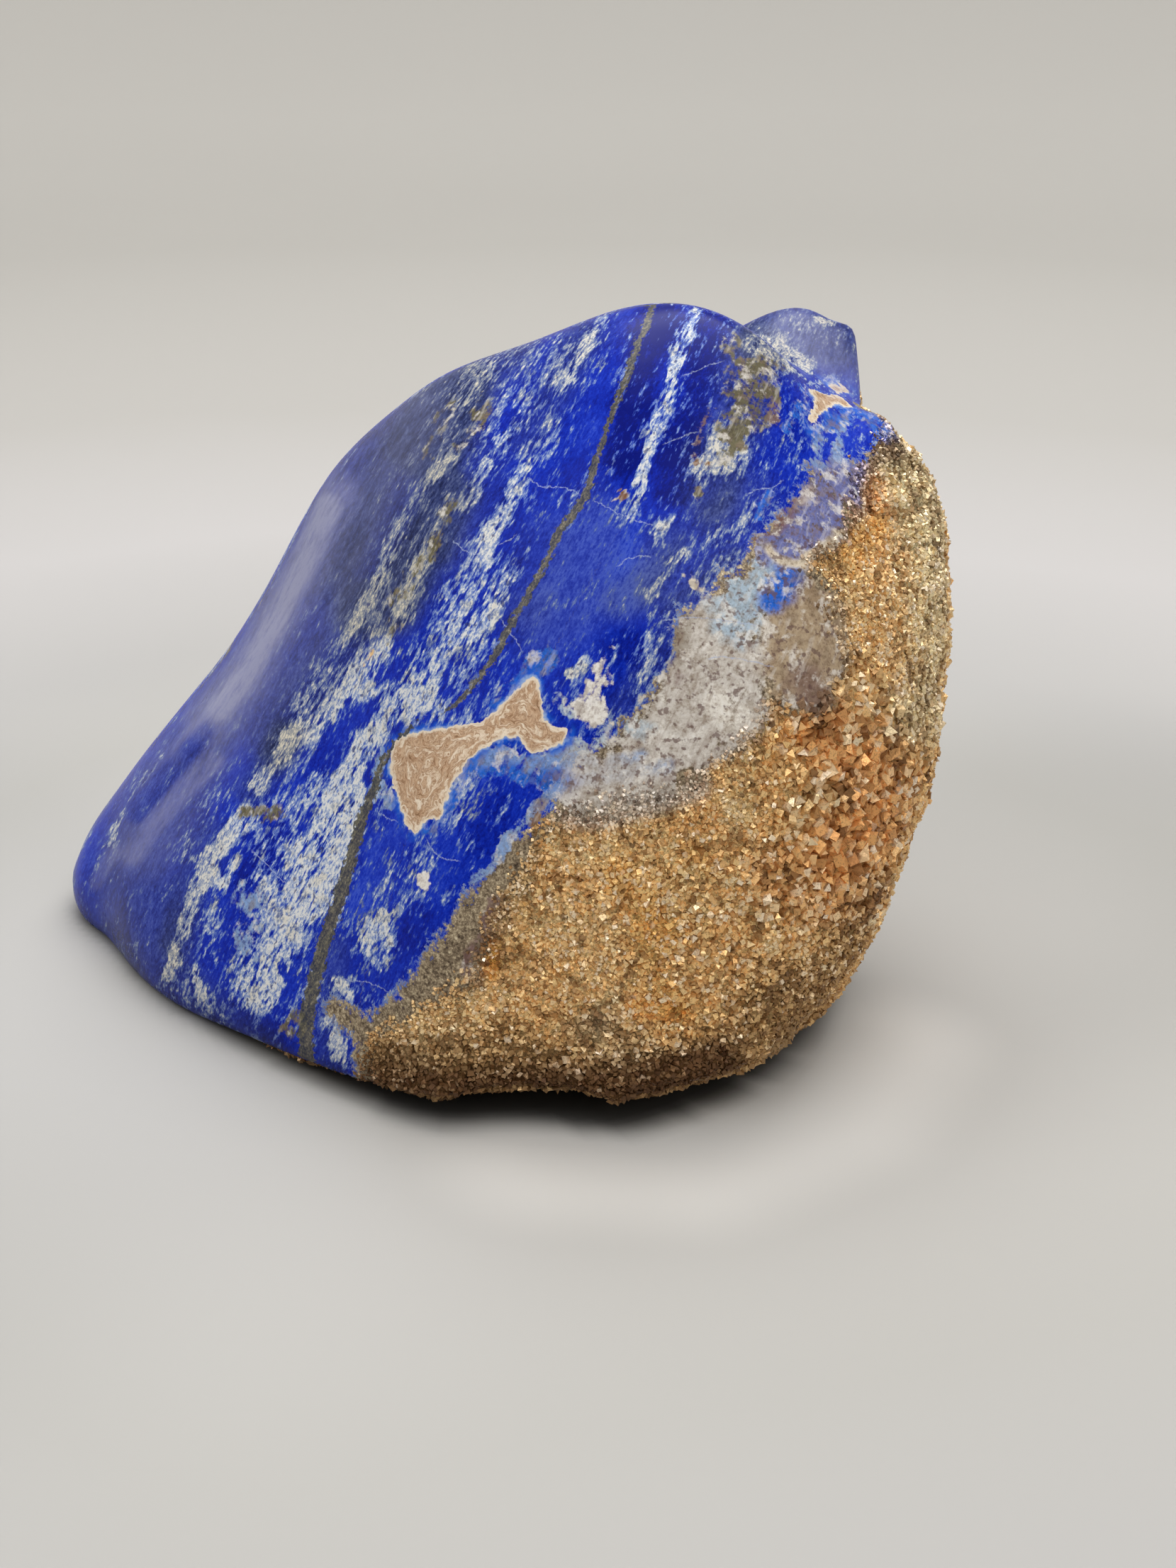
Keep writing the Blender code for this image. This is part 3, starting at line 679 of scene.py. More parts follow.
def ball(n):
    """A cube of n x n faces a side, as directions, with each face's own flat map."""
    grid = np.tan(np.linspace(-1, 1, n + 1) * math.pi / 4)
    a, b = np.meshgrid(grid, grid, indexing="ij")
    one = np.ones_like(a)
    sides = [(one, a, b), (-one, b, a), (b, one, a), (a, -one, b), (a, b, one), (b, a, -one)]
    ways, quads, maps = [], [], []
    step = np.arange((n + 1) ** 2).reshape(n + 1, n + 1)
    corner = np.stack([step[:-1, :-1], step[1:, :-1], step[1:, 1:], step[:-1, 1:]], -1).reshape(-1, 4)
    i, j = np.meshgrid(np.linspace(0, 1, n + 1), np.linspace(0, 1, n + 1), indexing="ij")
    flat = np.stack([i, j], -1).reshape(-1, 2)
    for side, (x, y, z) in enumerate(sides):
        ways.append(np.stack([x, y, z], -1).reshape(-1, 3))
        quads.append(corner + side * (n + 1) ** 2)
        cell = np.array((side % 3, side // 3), float)
        maps.append((cell + 0.01 + 0.98 * flat[corner]) / np.array((3.0, 2.0)))
    ways = np.concatenate(ways)
    ways /= np.linalg.norm(ways, axis=1)[:, None]
    _, first, index = np.unique(np.round(ways, 6), axis=0, return_index=True, return_inverse=True)
    return ways[first], index.reshape(-1)[np.concatenate(quads)], np.concatenate(maps)


TO_EYE = np.array((0.03, -0.93, 0.37))
TO_EYE /= np.linalg.norm(TO_EYE)
LONG_WAY = np.array((-0.85, 0.35, -0.40))
LONG_WAY /= np.linalg.norm(LONG_WAY)


def relaxed(p, quads, rounds):
    """The points drawn to the middle of their neighbours and back out again, which
    takes out small corners and keeps the size."""
    ends = np.concatenate([quads[:, [k, (k + 1) % 4]] for k in range(4)])
    a, b = np.concatenate([ends[:, 0], ends[:, 1]]), np.concatenate([ends[:, 1], ends[:, 0]])
    many = np.bincount(a, minlength=len(p))[:, None]
    for k in range(rounds):
        for step in (0.5, -0.52):
            mean = np.stack([np.bincount(a, weights=p[b, c], minlength=len(p)) for c in range(3)], 1) / many
            p = p + step * (mean - p)
    return p


def body_points(n, closer=0.66, rounds=24):
    """The stone's points, closer together on its long face than behind."""
    ways, quads, maps = ball(n)
    # The cube's +Y side is turned to the long face, then its points are drawn together.
    across = np.cross(TO_EYE, (0, 0, 1.0))
    across /= np.linalg.norm(across)
    ways = ways @ np.stack([across, TO_EYE, np.cross(across, TO_EYE)])
    c = np.clip(ways @ TO_EYE, -1, 1)
    rest = ways - c[:, None] * TO_EYE
    size = np.linalg.norm(rest, axis=1)
    half = np.arctan2(size, 1 + c)
    new = 2 * np.arctan(closer * np.tan(half))
    ways = np.cos(new)[:, None] * TO_EYE + np.sin(new)[:, None] * rest / np.maximum(size, 1e-9)[:, None]
    ways += LONG_WAY * (ways @ LONG_WAY)[:, None] * 0.6
    ways /= np.linalg.norm(ways, axis=1)[:, None]
    found = np.array(
        [tuple(TREE.ray_cast(Vector(CENTRE + w * 200.0), Vector(-w))[0]) for w in ways]
    )
    found = relaxed(found, quads, rounds)
    n = normals_of(found, quads)
    if ((found - CENTRE) * n).sum() < 0:
        quads, maps, n = quads[:, ::-1], maps[:, ::-1], -n
    return found, n, quads, maps


def normals_of(p, quads):
    n = np.zeros_like(p)
    cross = np.cross(p[quads[:, 2]] - p[quads[:, 0]], p[quads[:, 3]] - p[quads[:, 1]])
    for k in range(4):
        for c in range(3):
            n[:, c] += np.bincount(quads[:, k], weights=cross[:, c], minlength=len(p))
    return n / np.maximum(np.linalg.norm(n, axis=1), 1e-12)[:, None]


def shown(p, n):
    """1 where a point of the skin faces the camera with nothing before it, else 0."""
    to_eye = EYE - p
    to_eye /= np.linalg.norm(to_eye, axis=1)[:, None]
    facing = np.einsum("ij,ij->i", n, to_eye)
    open_to = np.zeros(len(p))
    for i in np.flatnonzero(facing > 0):
        hit = TREE.ray_cast(Vector(p[i] + n[i] * 1.2), Vector(to_eye[i]))[0]
        open_to[i] = hit is None
    return smooth(0.04, 0.22, facing) * open_to


def behind_edge(p):
    """How far a point is past the wavy plane on which the blue ends, away from the view."""
    return (p - RIND_SPOT) @ RIND_WAY + noise(p, 26, 5, 2) * 9


def rind_of(p, sheet, view):
    """How far a point is into the rough rind, in millimetres; less than nothing is the
    polished part."""
    seen = np.clip(inside(sheet, RIND) * 0.13 + noise(p, 7, 6, 2) * 1.5 + noise(p, 2.6, 7) * 0.6, -25, 25)
    return view * seen + (1 - view) * np.clip(behind_edge(p), -25, 25)


def edge_of(p, sheet, view):
    """How far a point is past the end of the blue, in millimetres."""
    seen = np.clip(inside(sheet, BLUE_EDGE + [(1500, 1560), (1500, 604)]) * 0.13, -25, 25)
    past = behind_edge(p) + 5 + noise(p, 9, 8) * 3
    return view * seen + (1 - view) * np.clip(past, -25, 25)


EDGE_POINTS = lift(TREE, [(505, 1500), (540, 1462), (610, 1424), (690, 1340), (745, 1215), (800, 1150), (900, 1134), (1000, 1080), (1085, 1000), (1195, 900), (1160, 800), (1215, 700), (1255, 620)])
RIND_SPOT = EDGE_POINTS.mean(0)
RIND_WAY = np.linalg.svd(EDGE_POINTS - RIND_SPOT)[2][2]
RIND_WAY = RIND_WAY * np.sign(RIND_WAY[0])


def seams(p):
    """1 in the narrow seams between the clumps of the rind, else 0."""
    wide = smooth(0.17, 0.04, np.abs(noise(p, 5.4, 78)))
    return np.maximum(wide, 0.7 * smooth(0.17, 0.05, np.abs(noise(p, 3.0, 79))))


def relief(p, sheet, view, rind):
    """How far the real surface stands out from the smooth skin, in millimetres."""
    s = layer_of(p)
    rough = smooth(-2.0, 4.0, rind)
    hand = noise(p, 34, 11) * 0.35 + noise(p, 15, 12) * 0.12
    dents = view * strokes(sheet, DENTS)
    lumps = noise(p, 17, 21, 2) * 1.0 + noise(p, 6, 23, 2) * 0.8 + noise(p, 2.6, 25, 2) * 0.6
    out = hand + dents * (1 - rough) + rough * (lumps - 1.4 - 0.5 * seams(p))
    return out * smooth(0.0, 4.0, p[:, 2])


def stood(p):
    """The points with everything under the ground plane pressed flat, with a soft rim."""
    q = p.copy()
    q[:, 2] = np.maximum(0.5 * (p[:, 2] + np.sqrt(p[:, 2] ** 2 + 0.5)) - 0.03, 0.0)
    return q


def rind_colour(p, sheet, view):
    """The colour of the rind from place to place, with painted shade towards its bottom and along its lower and right
    edges.
    """
    base = np.tile(ink("gold"), (len(p), 1))
    for name, size, seed, much in (("rust", 22, 31, 0.7), ("moss", 27, 32, 0.8), ("stone", 18, 33, 0.5), ("straw", 12, 34, 0.5), ("umber", 9, 35, 0.3)):
        a = smooth(0.1, 0.7, noise(p, size, seed, 2)) * much * (1 - 0.6 * view)
        base += (ink(name) - base) * a[:, None]
    for name, much, width, path in STAINS_AND_PAINTED_SHADE:
        a = np.clip(strokes(sheet, [(much, width, path)]) * view, 0, 1)
        base += (ink(name) - base) * a[:, None]
    # Painted shade: the rind turns to dark umber towards the bottom, below about 20 mm.
    low = smooth(20, 2, p[:, 2]) * 0.8
    return base + (ink("umber") * 0.7 - base) * low[:, None]


def add_float(mesh, name, values):
    mesh.attributes.new(name, "FLOAT", "POINT").data.foreach_set("value", np.asarray(values, np.float32))


def add_colour(mesh, name, values):
    rgba = np.column_stack([values, np.ones(len(values))]).astype(np.float32)
    mesh.attributes.new(name, "FLOAT_COLOR", "POINT").data.foreach_set("color", rgba.ravel())


def make_mesh(name, p, faces, flat_map, flat=False):
    mesh = bpy.data.meshes.new(name)
    size = faces.shape[1]
    mesh.vertices.add(len(p))
    mesh.vertices.foreach_set("co", np.asarray((p - ORIGIN) * MM, np.float32).ravel())
    mesh.loops.add(faces.size)
    mesh.loops.foreach_set("vertex_index", faces.ravel().astype(np.int32))
    mesh.polygons.add(len(faces))
    mesh.polygons.foreach_set("loop_start", np.arange(0, faces.size, size, dtype=np.int32))
    layer = mesh.uv_layers.new(name="OFBake")
    layer.data.foreach_set("uv", flat_map.astype(np.float32).ravel())
    mesh.update(calc_edges=True)
    mesh.validate()
    if flat:
        mesh.shade_flat()
    else:
        mesh.shade_smooth()
    obj = bpy.data.objects.new(name, mesh)
    bpy.context.scene.collection.objects.link(obj)
    return obj


def frayed(p, sheet, wide, fine):
    """Places on the sheet shifted a little this way and that, in pixels, so that
    whatever is drawn there gets ragged edges."""
    shift = [noise(p, 5.0, 81 + k, 2) * wide + noise(p, 1.9, 85 + k, 2) * fine for k in (0, 1)]
    return sheet + np.column_stack(shift)


def patches_at(p, sheet, view):
    """The colour of the minerals other than the blue, and how much they cover it."""
    colour = np.tile(ink("chalk"), (len(p), 1)).astype(float)
    cover = np.zeros(len(p))
    loose = frayed(p, sheet, 20, 12)
    near = frayed(p, sheet, 9, 7)
    layers = [(much * smooth(-soft / 2, soft / 2, inside(loose, outline)) * view, name) for name, much, soft, outline in PATCHES]
    layers += [(strokes(near, [(much, width, path)]) * view, name) for name, much, width, path in SPOTS]
    for name, size, seed, much, low in (("olive", 9, 51, 0.5, 0.45), ("cream", 8, 52, 0.7, 0.55), ("azure", 11, 53, 0.5, 0.5)):
        layers.append((smooth(low, low + 0.2, noise(p, size, seed, 2)) * much * (1 - view), name))
    for a, name in layers:
        a = np.clip(a, 0, 1)
        share = a / np.maximum(a + cover * (1 - a), 1e-6)
        colour = colour + (ink(name) - colour) * share[:, None]
        cover = 1 - (1 - cover) * (1 - a)
    return colour, cover


# ---------------------------------------------------------------------------------
def stone():
    p, n, quads, maps = body_points(125)
    view = shown(p, n)
    sheet = seen_at(p)
    s = layer_of(p)
    rind = rind_of(p, sheet, view)
    edge = edge_of(p, sheet, view)

    band = noise(np.column_stack([s / 4.0, p[:, 1] / 30, p[:, 2] / 30]), 1, 41, 3)
    own = 0.30 + 0.55 * band + 0.25 * noise(p, 22, 42, 2)
    torn = frayed(p, sheet, 8, 6)
    pale = view * strokes(torn, PALE, 0.22) + (1 - view) * own
    shade = view * strokes(torn, SHADE) + (1 - view) * noise(p, 20, 43, 2) * 0.6
    # The painted sheen: where a pale haze stands in for a reflection.
    painted_sheen = np.clip(view * strokes(sheet, PAINTED_SHEEN), 0, 1)
    grey = view * strokes(sheet, GREY) + (1 - view) * smooth(0.0, 0.8, noise(p, 24, 44, 2)) * 0.8

    colour, cover = patches_at(p, sheet, view)

    # The veins, as the distance across them. Behind, they go on along the layers.
    wide = np.zeros(len(p))
    across = np.full(len(p), 9.0)
    for vein in (UPPER_VEIN, LOWER_VEIN):
        path = [(x, y) for x, y, w in vein]
        d, side, along = off_path(sheet, path)
        gone = np.concatenate([[0], np.cumsum(np.hypot(*np.diff(np.array(path, float), axis=0).T))])
        w = np.interp(along, gone, [w for x, y, w in vein])
        wobble = noise(p, 4.0, 61, 2) * 1.6
        here = (d * side + wobble) * 0.13
        closer = np.abs(here) < np.abs(across)
        across = np.where(closer, here, across)
        wide = np.where(closer, w * 0.105, wide)
    behind = (s - 1.0 + noise(p, 14, 62, 2) * 1.6) * 0.9
    across = view * across + (1 - view) * np.clip(behind, -9, 9)
    wide = view * wide + (1 - view) * (1.2 + 0.4 * noise(p, 12, 63))

    # The hairlines, as the distance across them, faded out where they end.
    hair = np.full(len(p), 9.0)
    thread = np.zeros(len(p))
    for path in HAIRS:
        d, side, along = off_path(sheet, path)
        total = np.hypot(*np.diff(np.array(path, float), axis=0).T).sum()
        here = d * 0.13
        closer = here < np.abs(hair)
        hair = np.where(closer, here * side, hair)
        fade = smooth(2.2, 1.2, here) * smooth(0, 6, along) * smooth(0, 6, total - along) * view
        thread = np.where(closer, fade, thread)

    tan = np.maximum(inside(sheet, TAN[0]), inside(sheet, TAN[1])) * 0.13
    tan = view * np.clip(tan, -9, 9) + (1 - view) * -9

    out = relief(p, sheet, view, rind)
    p = stood(p + n * out[:, None])

    obj = make_mesh("lapis_stone", p, quads, maps)
    mesh = obj.data
    # Each attribute's name says what it holds; lengths are in millimetres.
    for name, values in (("layer", s), ("pale", pale), ("shade", shade), ("grey", grey), ("painted_sheen", painted_sheen), ("across", across), ("wide", wide), ("hair", hair), ("thread", thread), ("tan", tan), ("rind", rind), ("edge", edge), ("cover", cover)):
        add_float(mesh, name, values)
    add_colour(mesh, "patch", colour)
    add_colour(mesh, "stain", rind_colour(p, sheet, view))
    return obj


# ---------------------------------------------------------------------------------
class Nodes:
    """Short names for shader nodes."""

    def __init__(self, name):
        self.material = bpy.data.materials.new(name)
        self.material.use_nodes = True
        self.tree = self.material.node_tree
        self.bsdf = self.tree.nodes["Principled BSDF"]

    def put(self, socket, value):
        if isinstance(value, bpy.types.NodeSocket):
            self.tree.links.new(value, socket)
        elif value is not None:
            socket.default_value = value

    def attribute(self, name, output="Fac"):
        node = self.tree.nodes.new("ShaderNodeAttribute")
        node.attribute_name = name
        return node.outputs[output]

    def place(self):
        """The point's own coordinates, in millimetres."""
        node = self.tree.nodes.new("ShaderNodeTexCoord")
        return self.vector("SCALE", node.outputs["Object"], scale=1000.0)

    def normal(self):
        node = self.tree.nodes.new("ShaderNodeNewGeometry")
        return node.outputs["Normal"]

    def vector(self, operation, a, b=None, scale=None):
        node = self.tree.nodes.new("ShaderNodeVectorMath")
        node.operation = operation
        self.put(node.inputs[0], a)
        if b is not None:
            self.put(node.inputs[1], b)
        if scale is not None:
            self.put(node.inputs["Scale"], scale)
        return node.outputs["Vector"]

    def math(self, operation, a, b=None, c=None, clamp=False):
        node = self.tree.nodes.new("ShaderNodeMath")
        node.operation = operation
        node.use_clamp = clamp
        for socket, value in zip(node.inputs, (a, b, c)):
            self.put(socket, value)
        return node.outputs[0]

    def times(self, *values):
        out = values[0]
        for value in values[1:]:
            out = self.math("MULTIPLY", out, value)
        return out

    def plus(self, *values):
        out = values[0]
        for value in values[1:]:
            out = self.math("ADD", out, value)
        return out

    def rest(self, value):
        return self.math("SUBTRACT", 1.0, value)

    def step(self, low, high, x):
        """A smooth step from 0 at low to 1 at high."""
        node = self.tree.nodes.new("ShaderNodeMapRange")
        node.interpolation_type = "SMOOTHSTEP"
        self.put(node.inputs["Value"], x)
        self.put(node.inputs["From Min"], low)
        self.put(node.inputs["From Max"], high)
        return node.outputs["Result"]

    def fit(self, x, a, b, c, d):
        node = self.tree.nodes.new("ShaderNodeMapRange")
        for socket, value in zip([node.inputs[i] for i in (0, 1, 2, 3, 4)], (x, a, b, c, d)):
            self.put(socket, value)
        return node.outputs["Result"]

    def mix(self, fac, a, b, mode="MIX"):
        node = self.tree.nodes.new("ShaderNodeMix")
        node.data_type = "RGBA"
        node.blend_type = mode
        self.put(node.inputs["Factor"], fac)
        sockets = [s for s in node.inputs if s.type == "RGBA"]
        self.put(sockets[0], a)
        self.put(sockets[1], b)
        return [s for s in node.outputs if s.type == "RGBA"][0]

    def ramp(self, x, stops):
        node = self.tree.nodes.new("ShaderNodeValToRGB")
        while len(node.color_ramp.elements) < len(stops):
            node.color_ramp.elements.new(0.5)
        for element, (at, colour) in zip(node.color_ramp.elements, stops):
            element.position = at
            element.color = colour
        self.put(node.inputs[0], x)
        return node.outputs["Color"]

    def noise(self, place, scale, detail=2.0, roughness=0.5, w=None, distortion=0.0):
        node = self.tree.nodes.new("ShaderNodeTexNoise")
        if w is not None:
            node.noise_dimensions = "4D"
            self.put(node.inputs["W"], w)
        self.put(node.inputs["Vector"], place)
        node.inputs["Scale"].default_value = scale
        node.inputs["Detail"].default_value = detail
        node.inputs["Roughness"].default_value = roughness
        node.inputs["Distortion"].default_value = distortion
        return node.outputs["Fac"]

    def cells(self, place, scale, output="Distance", feature="F1"):
        node = self.tree.nodes.new("ShaderNodeTexVoronoi")
        node.feature = feature
        self.put(node.inputs["Vector"], place)
        node.inputs["Scale"].default_value = scale
        return node.outputs[output]

    def bump(self, height, strength, distance, normal=None):
        node = self.tree.nodes.new("ShaderNodeBump")
        node.inputs["Strength"].default_value = strength
        node.inputs["Distance"].default_value = distance
        self.put(node.inputs["Height"], height)
        if normal is not None:
            self.put(node.inputs["Normal"], normal)
        return node.outputs["Normal"]


def rgb(r, g, b):
    c = np.array((r, g, b)) / 255.0
    c = np.where(c <= 0.04045, c / 12.92, ((c + 0.055) / 1.055) ** 2.4)
    return (float(c[0]), float(c[1]), float(c[2]), 1.0)


def stone_material():
    m = Nodes("polished_lapis")
    place = m.place()
    s = m.attribute("layer")

    def streak(along, across, detail, rough, distortion=0.0):
        """Noise drawn out along the layers and thin across them, in millimetres."""
        return m.noise(place, 1 / along, detail, rough, w=m.math("MULTIPLY", s, along / across), distortion=distortion)

    flake = streak(1.8, 0.56, 2.0, 0.64)
    tuft = streak(4.8, 1.10, 2.0, 0.60)
    band = streak(17.0, 3.2, 1.0, 0.5)
    weave = m.noise(place, 1.15, 2.0, 0.6, w=m.math("MULTIPLY", s, 1.9))
    speck = m.noise(place, 1.1, 2.0, 0.6)
    dust = m.noise(place, 2.4, 2.0, 0.7)
    broad = m.noise(place, 0.09, 3.0, 0.55)
    drift = m.noise(place, 0.28, 2.0, 0.5)

    # The blue itself.
    grey = m.attribute("grey")
    high = m.tree.nodes.new("ShaderNodeSeparateXYZ")
    m.put(high.inputs[0], place)
    # Painted shade: the blue is made darker towards the bottom, below about 13 mm.
    low = m.step(13.0, 0.5, m.math("ADD", high.outputs["Z"], m.fit(broad, 0.3, 0.7, -2.0, 2.0)))
    shade = m.plus(m.attribute("shade"), m.times(low, -0.6), m.fit(broad, 0.3, 0.7, -0.4, 0.4), m.fit(flake, 0.3, 0.7, -0.55, 0.55), m.fit(dust, 0.3, 0.7, -0.3, 0.3), m.times(m.fit(weave, 0.3, 0.7, -0.8, 0.8), m.fit(grey, 0.0, 1.0, 0.45, 1.0)), m.times(m.fit(tuft, 0.3, 0.7, -0.6, 0.6), m.fit(grey, 0.0, 1.0, 0.2, 1.0)))
    blue = m.ramp(m.fit(shade, -1.2, 1.2, 0.0, 1.0), [(0.0, rgb(3, 17, 116)), (0.28, rgb(5, 30, 152)), (0.5, rgb(10, 42, 174)), (0.74, rgb(27, 58, 190)), (1.0, rgb(58, 86, 202))])
    dull = m.ramp(m.fit(shade, -1.2, 1.2, 0.0, 1.0), [(0.0, rgb(26, 34, 74)), (0.5, rgb(52, 63, 112)), (1.0, rgb(92, 104, 146))])
    blue = m.mix(m.math("MULTIPLY", grey, 0.8, clamp=True), blue, dull)

    # Pale flecks, from light blue where they are few to white where they are dense.
    pale = m.attribute("pale")
    level = m.plus(m.fit(pale, 0.0, 1.0, 0.685, 0.38), m.times(m.step(0.55, 0.95, pale), -0.08))
    grain = m.plus(0.5, m.times(m.math("SUBTRACT", flake, 0.5), m.fit(grey, 0.0, 1.0, 1.2, 1.1)), m.times(m.math("SUBTRACT", tuft, 0.5), m.fit(grey, 0.0, 1.0, 1.15, 0.8)), m.times(m.math("SUBTRACT", band, 0.5), m.fit(grey, 0.0, 1.0, 0.5, 0.25)))
    fleck = m.step(m.math("SUBTRACT", level, 0.15), m.math("ADD", level, 0.20), grain)
    tone = m.times(fleck, m.plus(m.fit(pale, 0.0, 1.0, 0.50, 0.90), m.times(grey, -0.08), m.fit(weave, 0.3, 0.7, -0.40, 0.40), m.fit(dust, 0.3, 0.7, -0.16, 0.16), m.fit(speck, 0.3, 0.7, -0.12, 0.12)))
    milk = m.ramp(tone, [(0.0, rgb(34, 58, 172)), (0.3, rgb(72, 98, 184)), (0.55, rgb(120, 140, 194)), (0.78, rgb(172, 184, 206)), (1.0, rgb(222, 222, 220))])
    buff = m.ramp(tone, [(0.0, rgb(54, 66, 122)), (0.3, rgb(90, 100, 134)), (0.55, rgb(130, 136, 150)), (0.78, rgb(174, 172, 164)), (1.0, rgb(216, 208, 190))])
    buffness = m.math("MAXIMUM", m.math("MULTIPLY", grey, 0.9, clamp=True), m.times(m.step(0.52, 0.66, drift), 0.55))
    milk = m.mix(buffness, milk, buff)
    colour = m.mix(m.step(0.0, 0.30, tone), blue, milk)
    pits = m.times(m.step(0.60, 0.70, m.noise(place, 0.85, 1.0, 0.5, w=m.math("MULTIPLY", s, 1.4))), m.step(0.4, 0.9, pale))
    colour = m.mix(m.times(pits, 0.75), colour, rgb(34, 44, 110))

    # Other minerals, with edges broken by the grain.
    cover = m.attribute("cover")
    cover = m.plus(cover, m.times(m.step(0.0, 0.25, cover), m.plus(m.fit(m.plus(m.times(tuft, 0.45), m.times(speck, 0.40), m.times(dust, 0.15)), 0.3, 0.7, -0.45, 0.45), m.fit(drift, 0.3, 0.7, -0.34, 0.34))))
    patch = m.attribute("patch", "Color")
    mottle = m.ramp(m.plus(m.times(speck, 0.6), m.times(dust, 0.4)), [(0.30, rgb(172, 158, 146)), (0.42, rgb(220, 214, 208)), (0.53, rgb(246, 244, 240)), (0.66, rgb(255, 255, 255))])
    veil = m.noise(place, 0.34, 4.0, 0.62)
    patch = m.mix(m.times(m.step(0.52, 0.64, veil), 0.70), patch, rgb(238, 234, 228))
    patch = m.mix(m.times(m.step(0.47, 0.36, veil), 0.50), patch, rgb(146, 128, 108))
    patch = m.mix(1.0, patch, mottle, "MULTIPLY")
    patch = m.mix(m.times(m.step(0.54, 0.66, tuft), 0.25), patch, rgb(236, 230, 224))
    patch = m.mix(m.times(m.step(0.46, 0.36, tuft), 0.30), patch, rgb(126, 100, 86))
    dots = m.times(m.step(0.56, 0.66, m.noise(place, 0.72, 2.0, 0.6)), m.step(-2.0, 1.0, m.attribute("edge")))
    patch = m.mix(m.times(dots, 0.75), patch, rgb(104, 80, 74))
    covered = m.step(0.26, 0.66, cover)
    colour = m.mix(m.times(covered, 0.95), colour, patch)

    # The brown patches: a light blue rim, a cream edge and marbled inside.
    tan = m.plus(m.attribute("tan"), m.fit(m.noise(place, 0.6, 2.0, 0.55), 0.3, 0.7, -0.42, 0.42))
    halo = m.times(m.step(-2.2, -0.2, tan), m.fit(drift, 0.40, 0.6, 0.0, 0.95))
    colour = m.mix(halo, colour, m.mix(m.times(m.step(-0.6, -0.1, tan), 0.75), rgb(28, 92, 206), rgb(160, 186, 220)))
    # Inside, lines run round them like the rings of wood.
    rings = m.noise(place, 0.30, 2.0, 0.62, w=m.math("MULTIPLY", m.plus(tan, m.fit(drift, 0.3, 0.7, -1.2, 1.2)), 5.2))
    swirl = m.plus(m.times(rings, 0.80), m.times(m.noise(place, 0.55, 3.0, 0.62), 0.20))
    marble = m.ramp(swirl, [(0.34, rgb(136, 102, 74)), (0.42, rgb(186, 150, 118)), (0.47, rgb(210, 180, 150)), (0.51, rgb(164, 128, 98)), (0.55, rgb(214, 188, 160)), (0.64, rgb(236, 220, 198))])
    marble = m.mix(m.times(m.step(0.52, 0.66, dust), 0.30), marble, rgb(146, 110, 82))
    marble = m.mix(m.times(m.step(0.75, 0.15, tan), 0.85), marble, rgb(236, 222, 200))
    within = m.step(-0.10, 0.12, tan)
    colour = m.mix(within, colour, marble)

    # Grey pyrite at the end of the blue.
    veil_of_ore = m.noise(place, 0.5, 3.0, 0.6)
    edge = m.plus(m.attribute("edge"), m.fit(m.plus(m.times(dust, 0.4), m.times(speck, 0.6)), 0.3, 0.7, -1.7, 1.7), m.fit(drift, 0.3, 0.7, -1.2, 1.2))
    past = m.step(-0.5, 0.6, edge)
    rim = m.times(m.step(-1.3, -0.2, edge), m.rest(past))
    colour = m.mix(m.times(rim, m.fit(drift, 0.4, 0.6, 0.15, 0.8)), colour, rgb(136, 158, 196))
    ore = m.ramp(m.plus(m.times(dust, 0.45), m.times(speck, 0.40), m.times(veil_of_ore, 0.15)), [(0.34, rgb(60, 50, 42)), (0.44, rgb(104, 90, 74)), (0.51, rgb(140, 124, 102)), (0.58, rgb(180, 164, 136)), (0.68, rgb(228, 216, 186))])
    colour = m.mix(past, colour, m.mix(covered, ore, patch))

    # Hairlines.
    line = m.times(m.step(0.17, 0.04, m.math("ABSOLUTE", m.plus(m.attribute("hair"), m.fit(speck, 0.3, 0.7, -0.2, 0.2)))), m.attribute("thread"))
    colour = m.mix(m.times(line, m.fit(dust, 0.35, 0.6, 0.15, 0.7)), colour, rgb(172, 184, 214))

    # The veins.
    across = m.math("ABSOLUTE", m.attribute("across"))
    ragged = m.plus(across, m.fit(speck, 0.3, 0.7, -0.42, 0.42), m.fit(flake, 0.3, 0.7, -0.3, 0.3))
    vein = m.times(m.step(0.14, -0.14, m.math("SUBTRACT", ragged, m.attribute("wide"))), m.rest(within))
    lode = m.ramp(m.plus(m.times(dust, 0.5), m.times(flake, 0.5)), [(0.30, rgb(34, 42, 76)), (0.42, rgb(66, 67, 68)), (0.52, rgb(98, 95, 81)), (0.61, rgb(130, 122, 98)), (0.73, rgb(178, 172, 150))])
    colour = m.mix(m.times(vein, 0.94), colour, lode)

    # Painted sheen: a pale violet haze mixed into the colour for a reflection where the flank turns away; it is a
    # little rougher there too.
    painted_sheen = m.attribute("painted_sheen")
    painted_sheen_amount = m.times(painted_sheen, m.plus(m.fit(tuft, 0.3, 0.7, 0.75, 1.25), m.fit(speck, 0.3, 0.7, -0.1, 0.1)))
    colour = m.mix(m.math("MULTIPLY", painted_sheen_amount, 1.0, clamp=True), colour, rgb(146, 148, 178))

    # Under the rind's grains.
    rind = m.plus(m.attribute("rind"), m.fit(speck, 0.3, 0.7, -1.6, 1.6), m.fit(drift, 0.3, 0.7, -1.2, 1.2))
    rough = m.step(-0.9, 1.6, rind)
    stain = m.attribute("stain", "Color")
    under = m.mix(m.step(0.36, 0.6, dust), m.mix(0.5, stain, rgb(56, 38, 20)), stain)
    colour = m.mix(rough, colour, under)
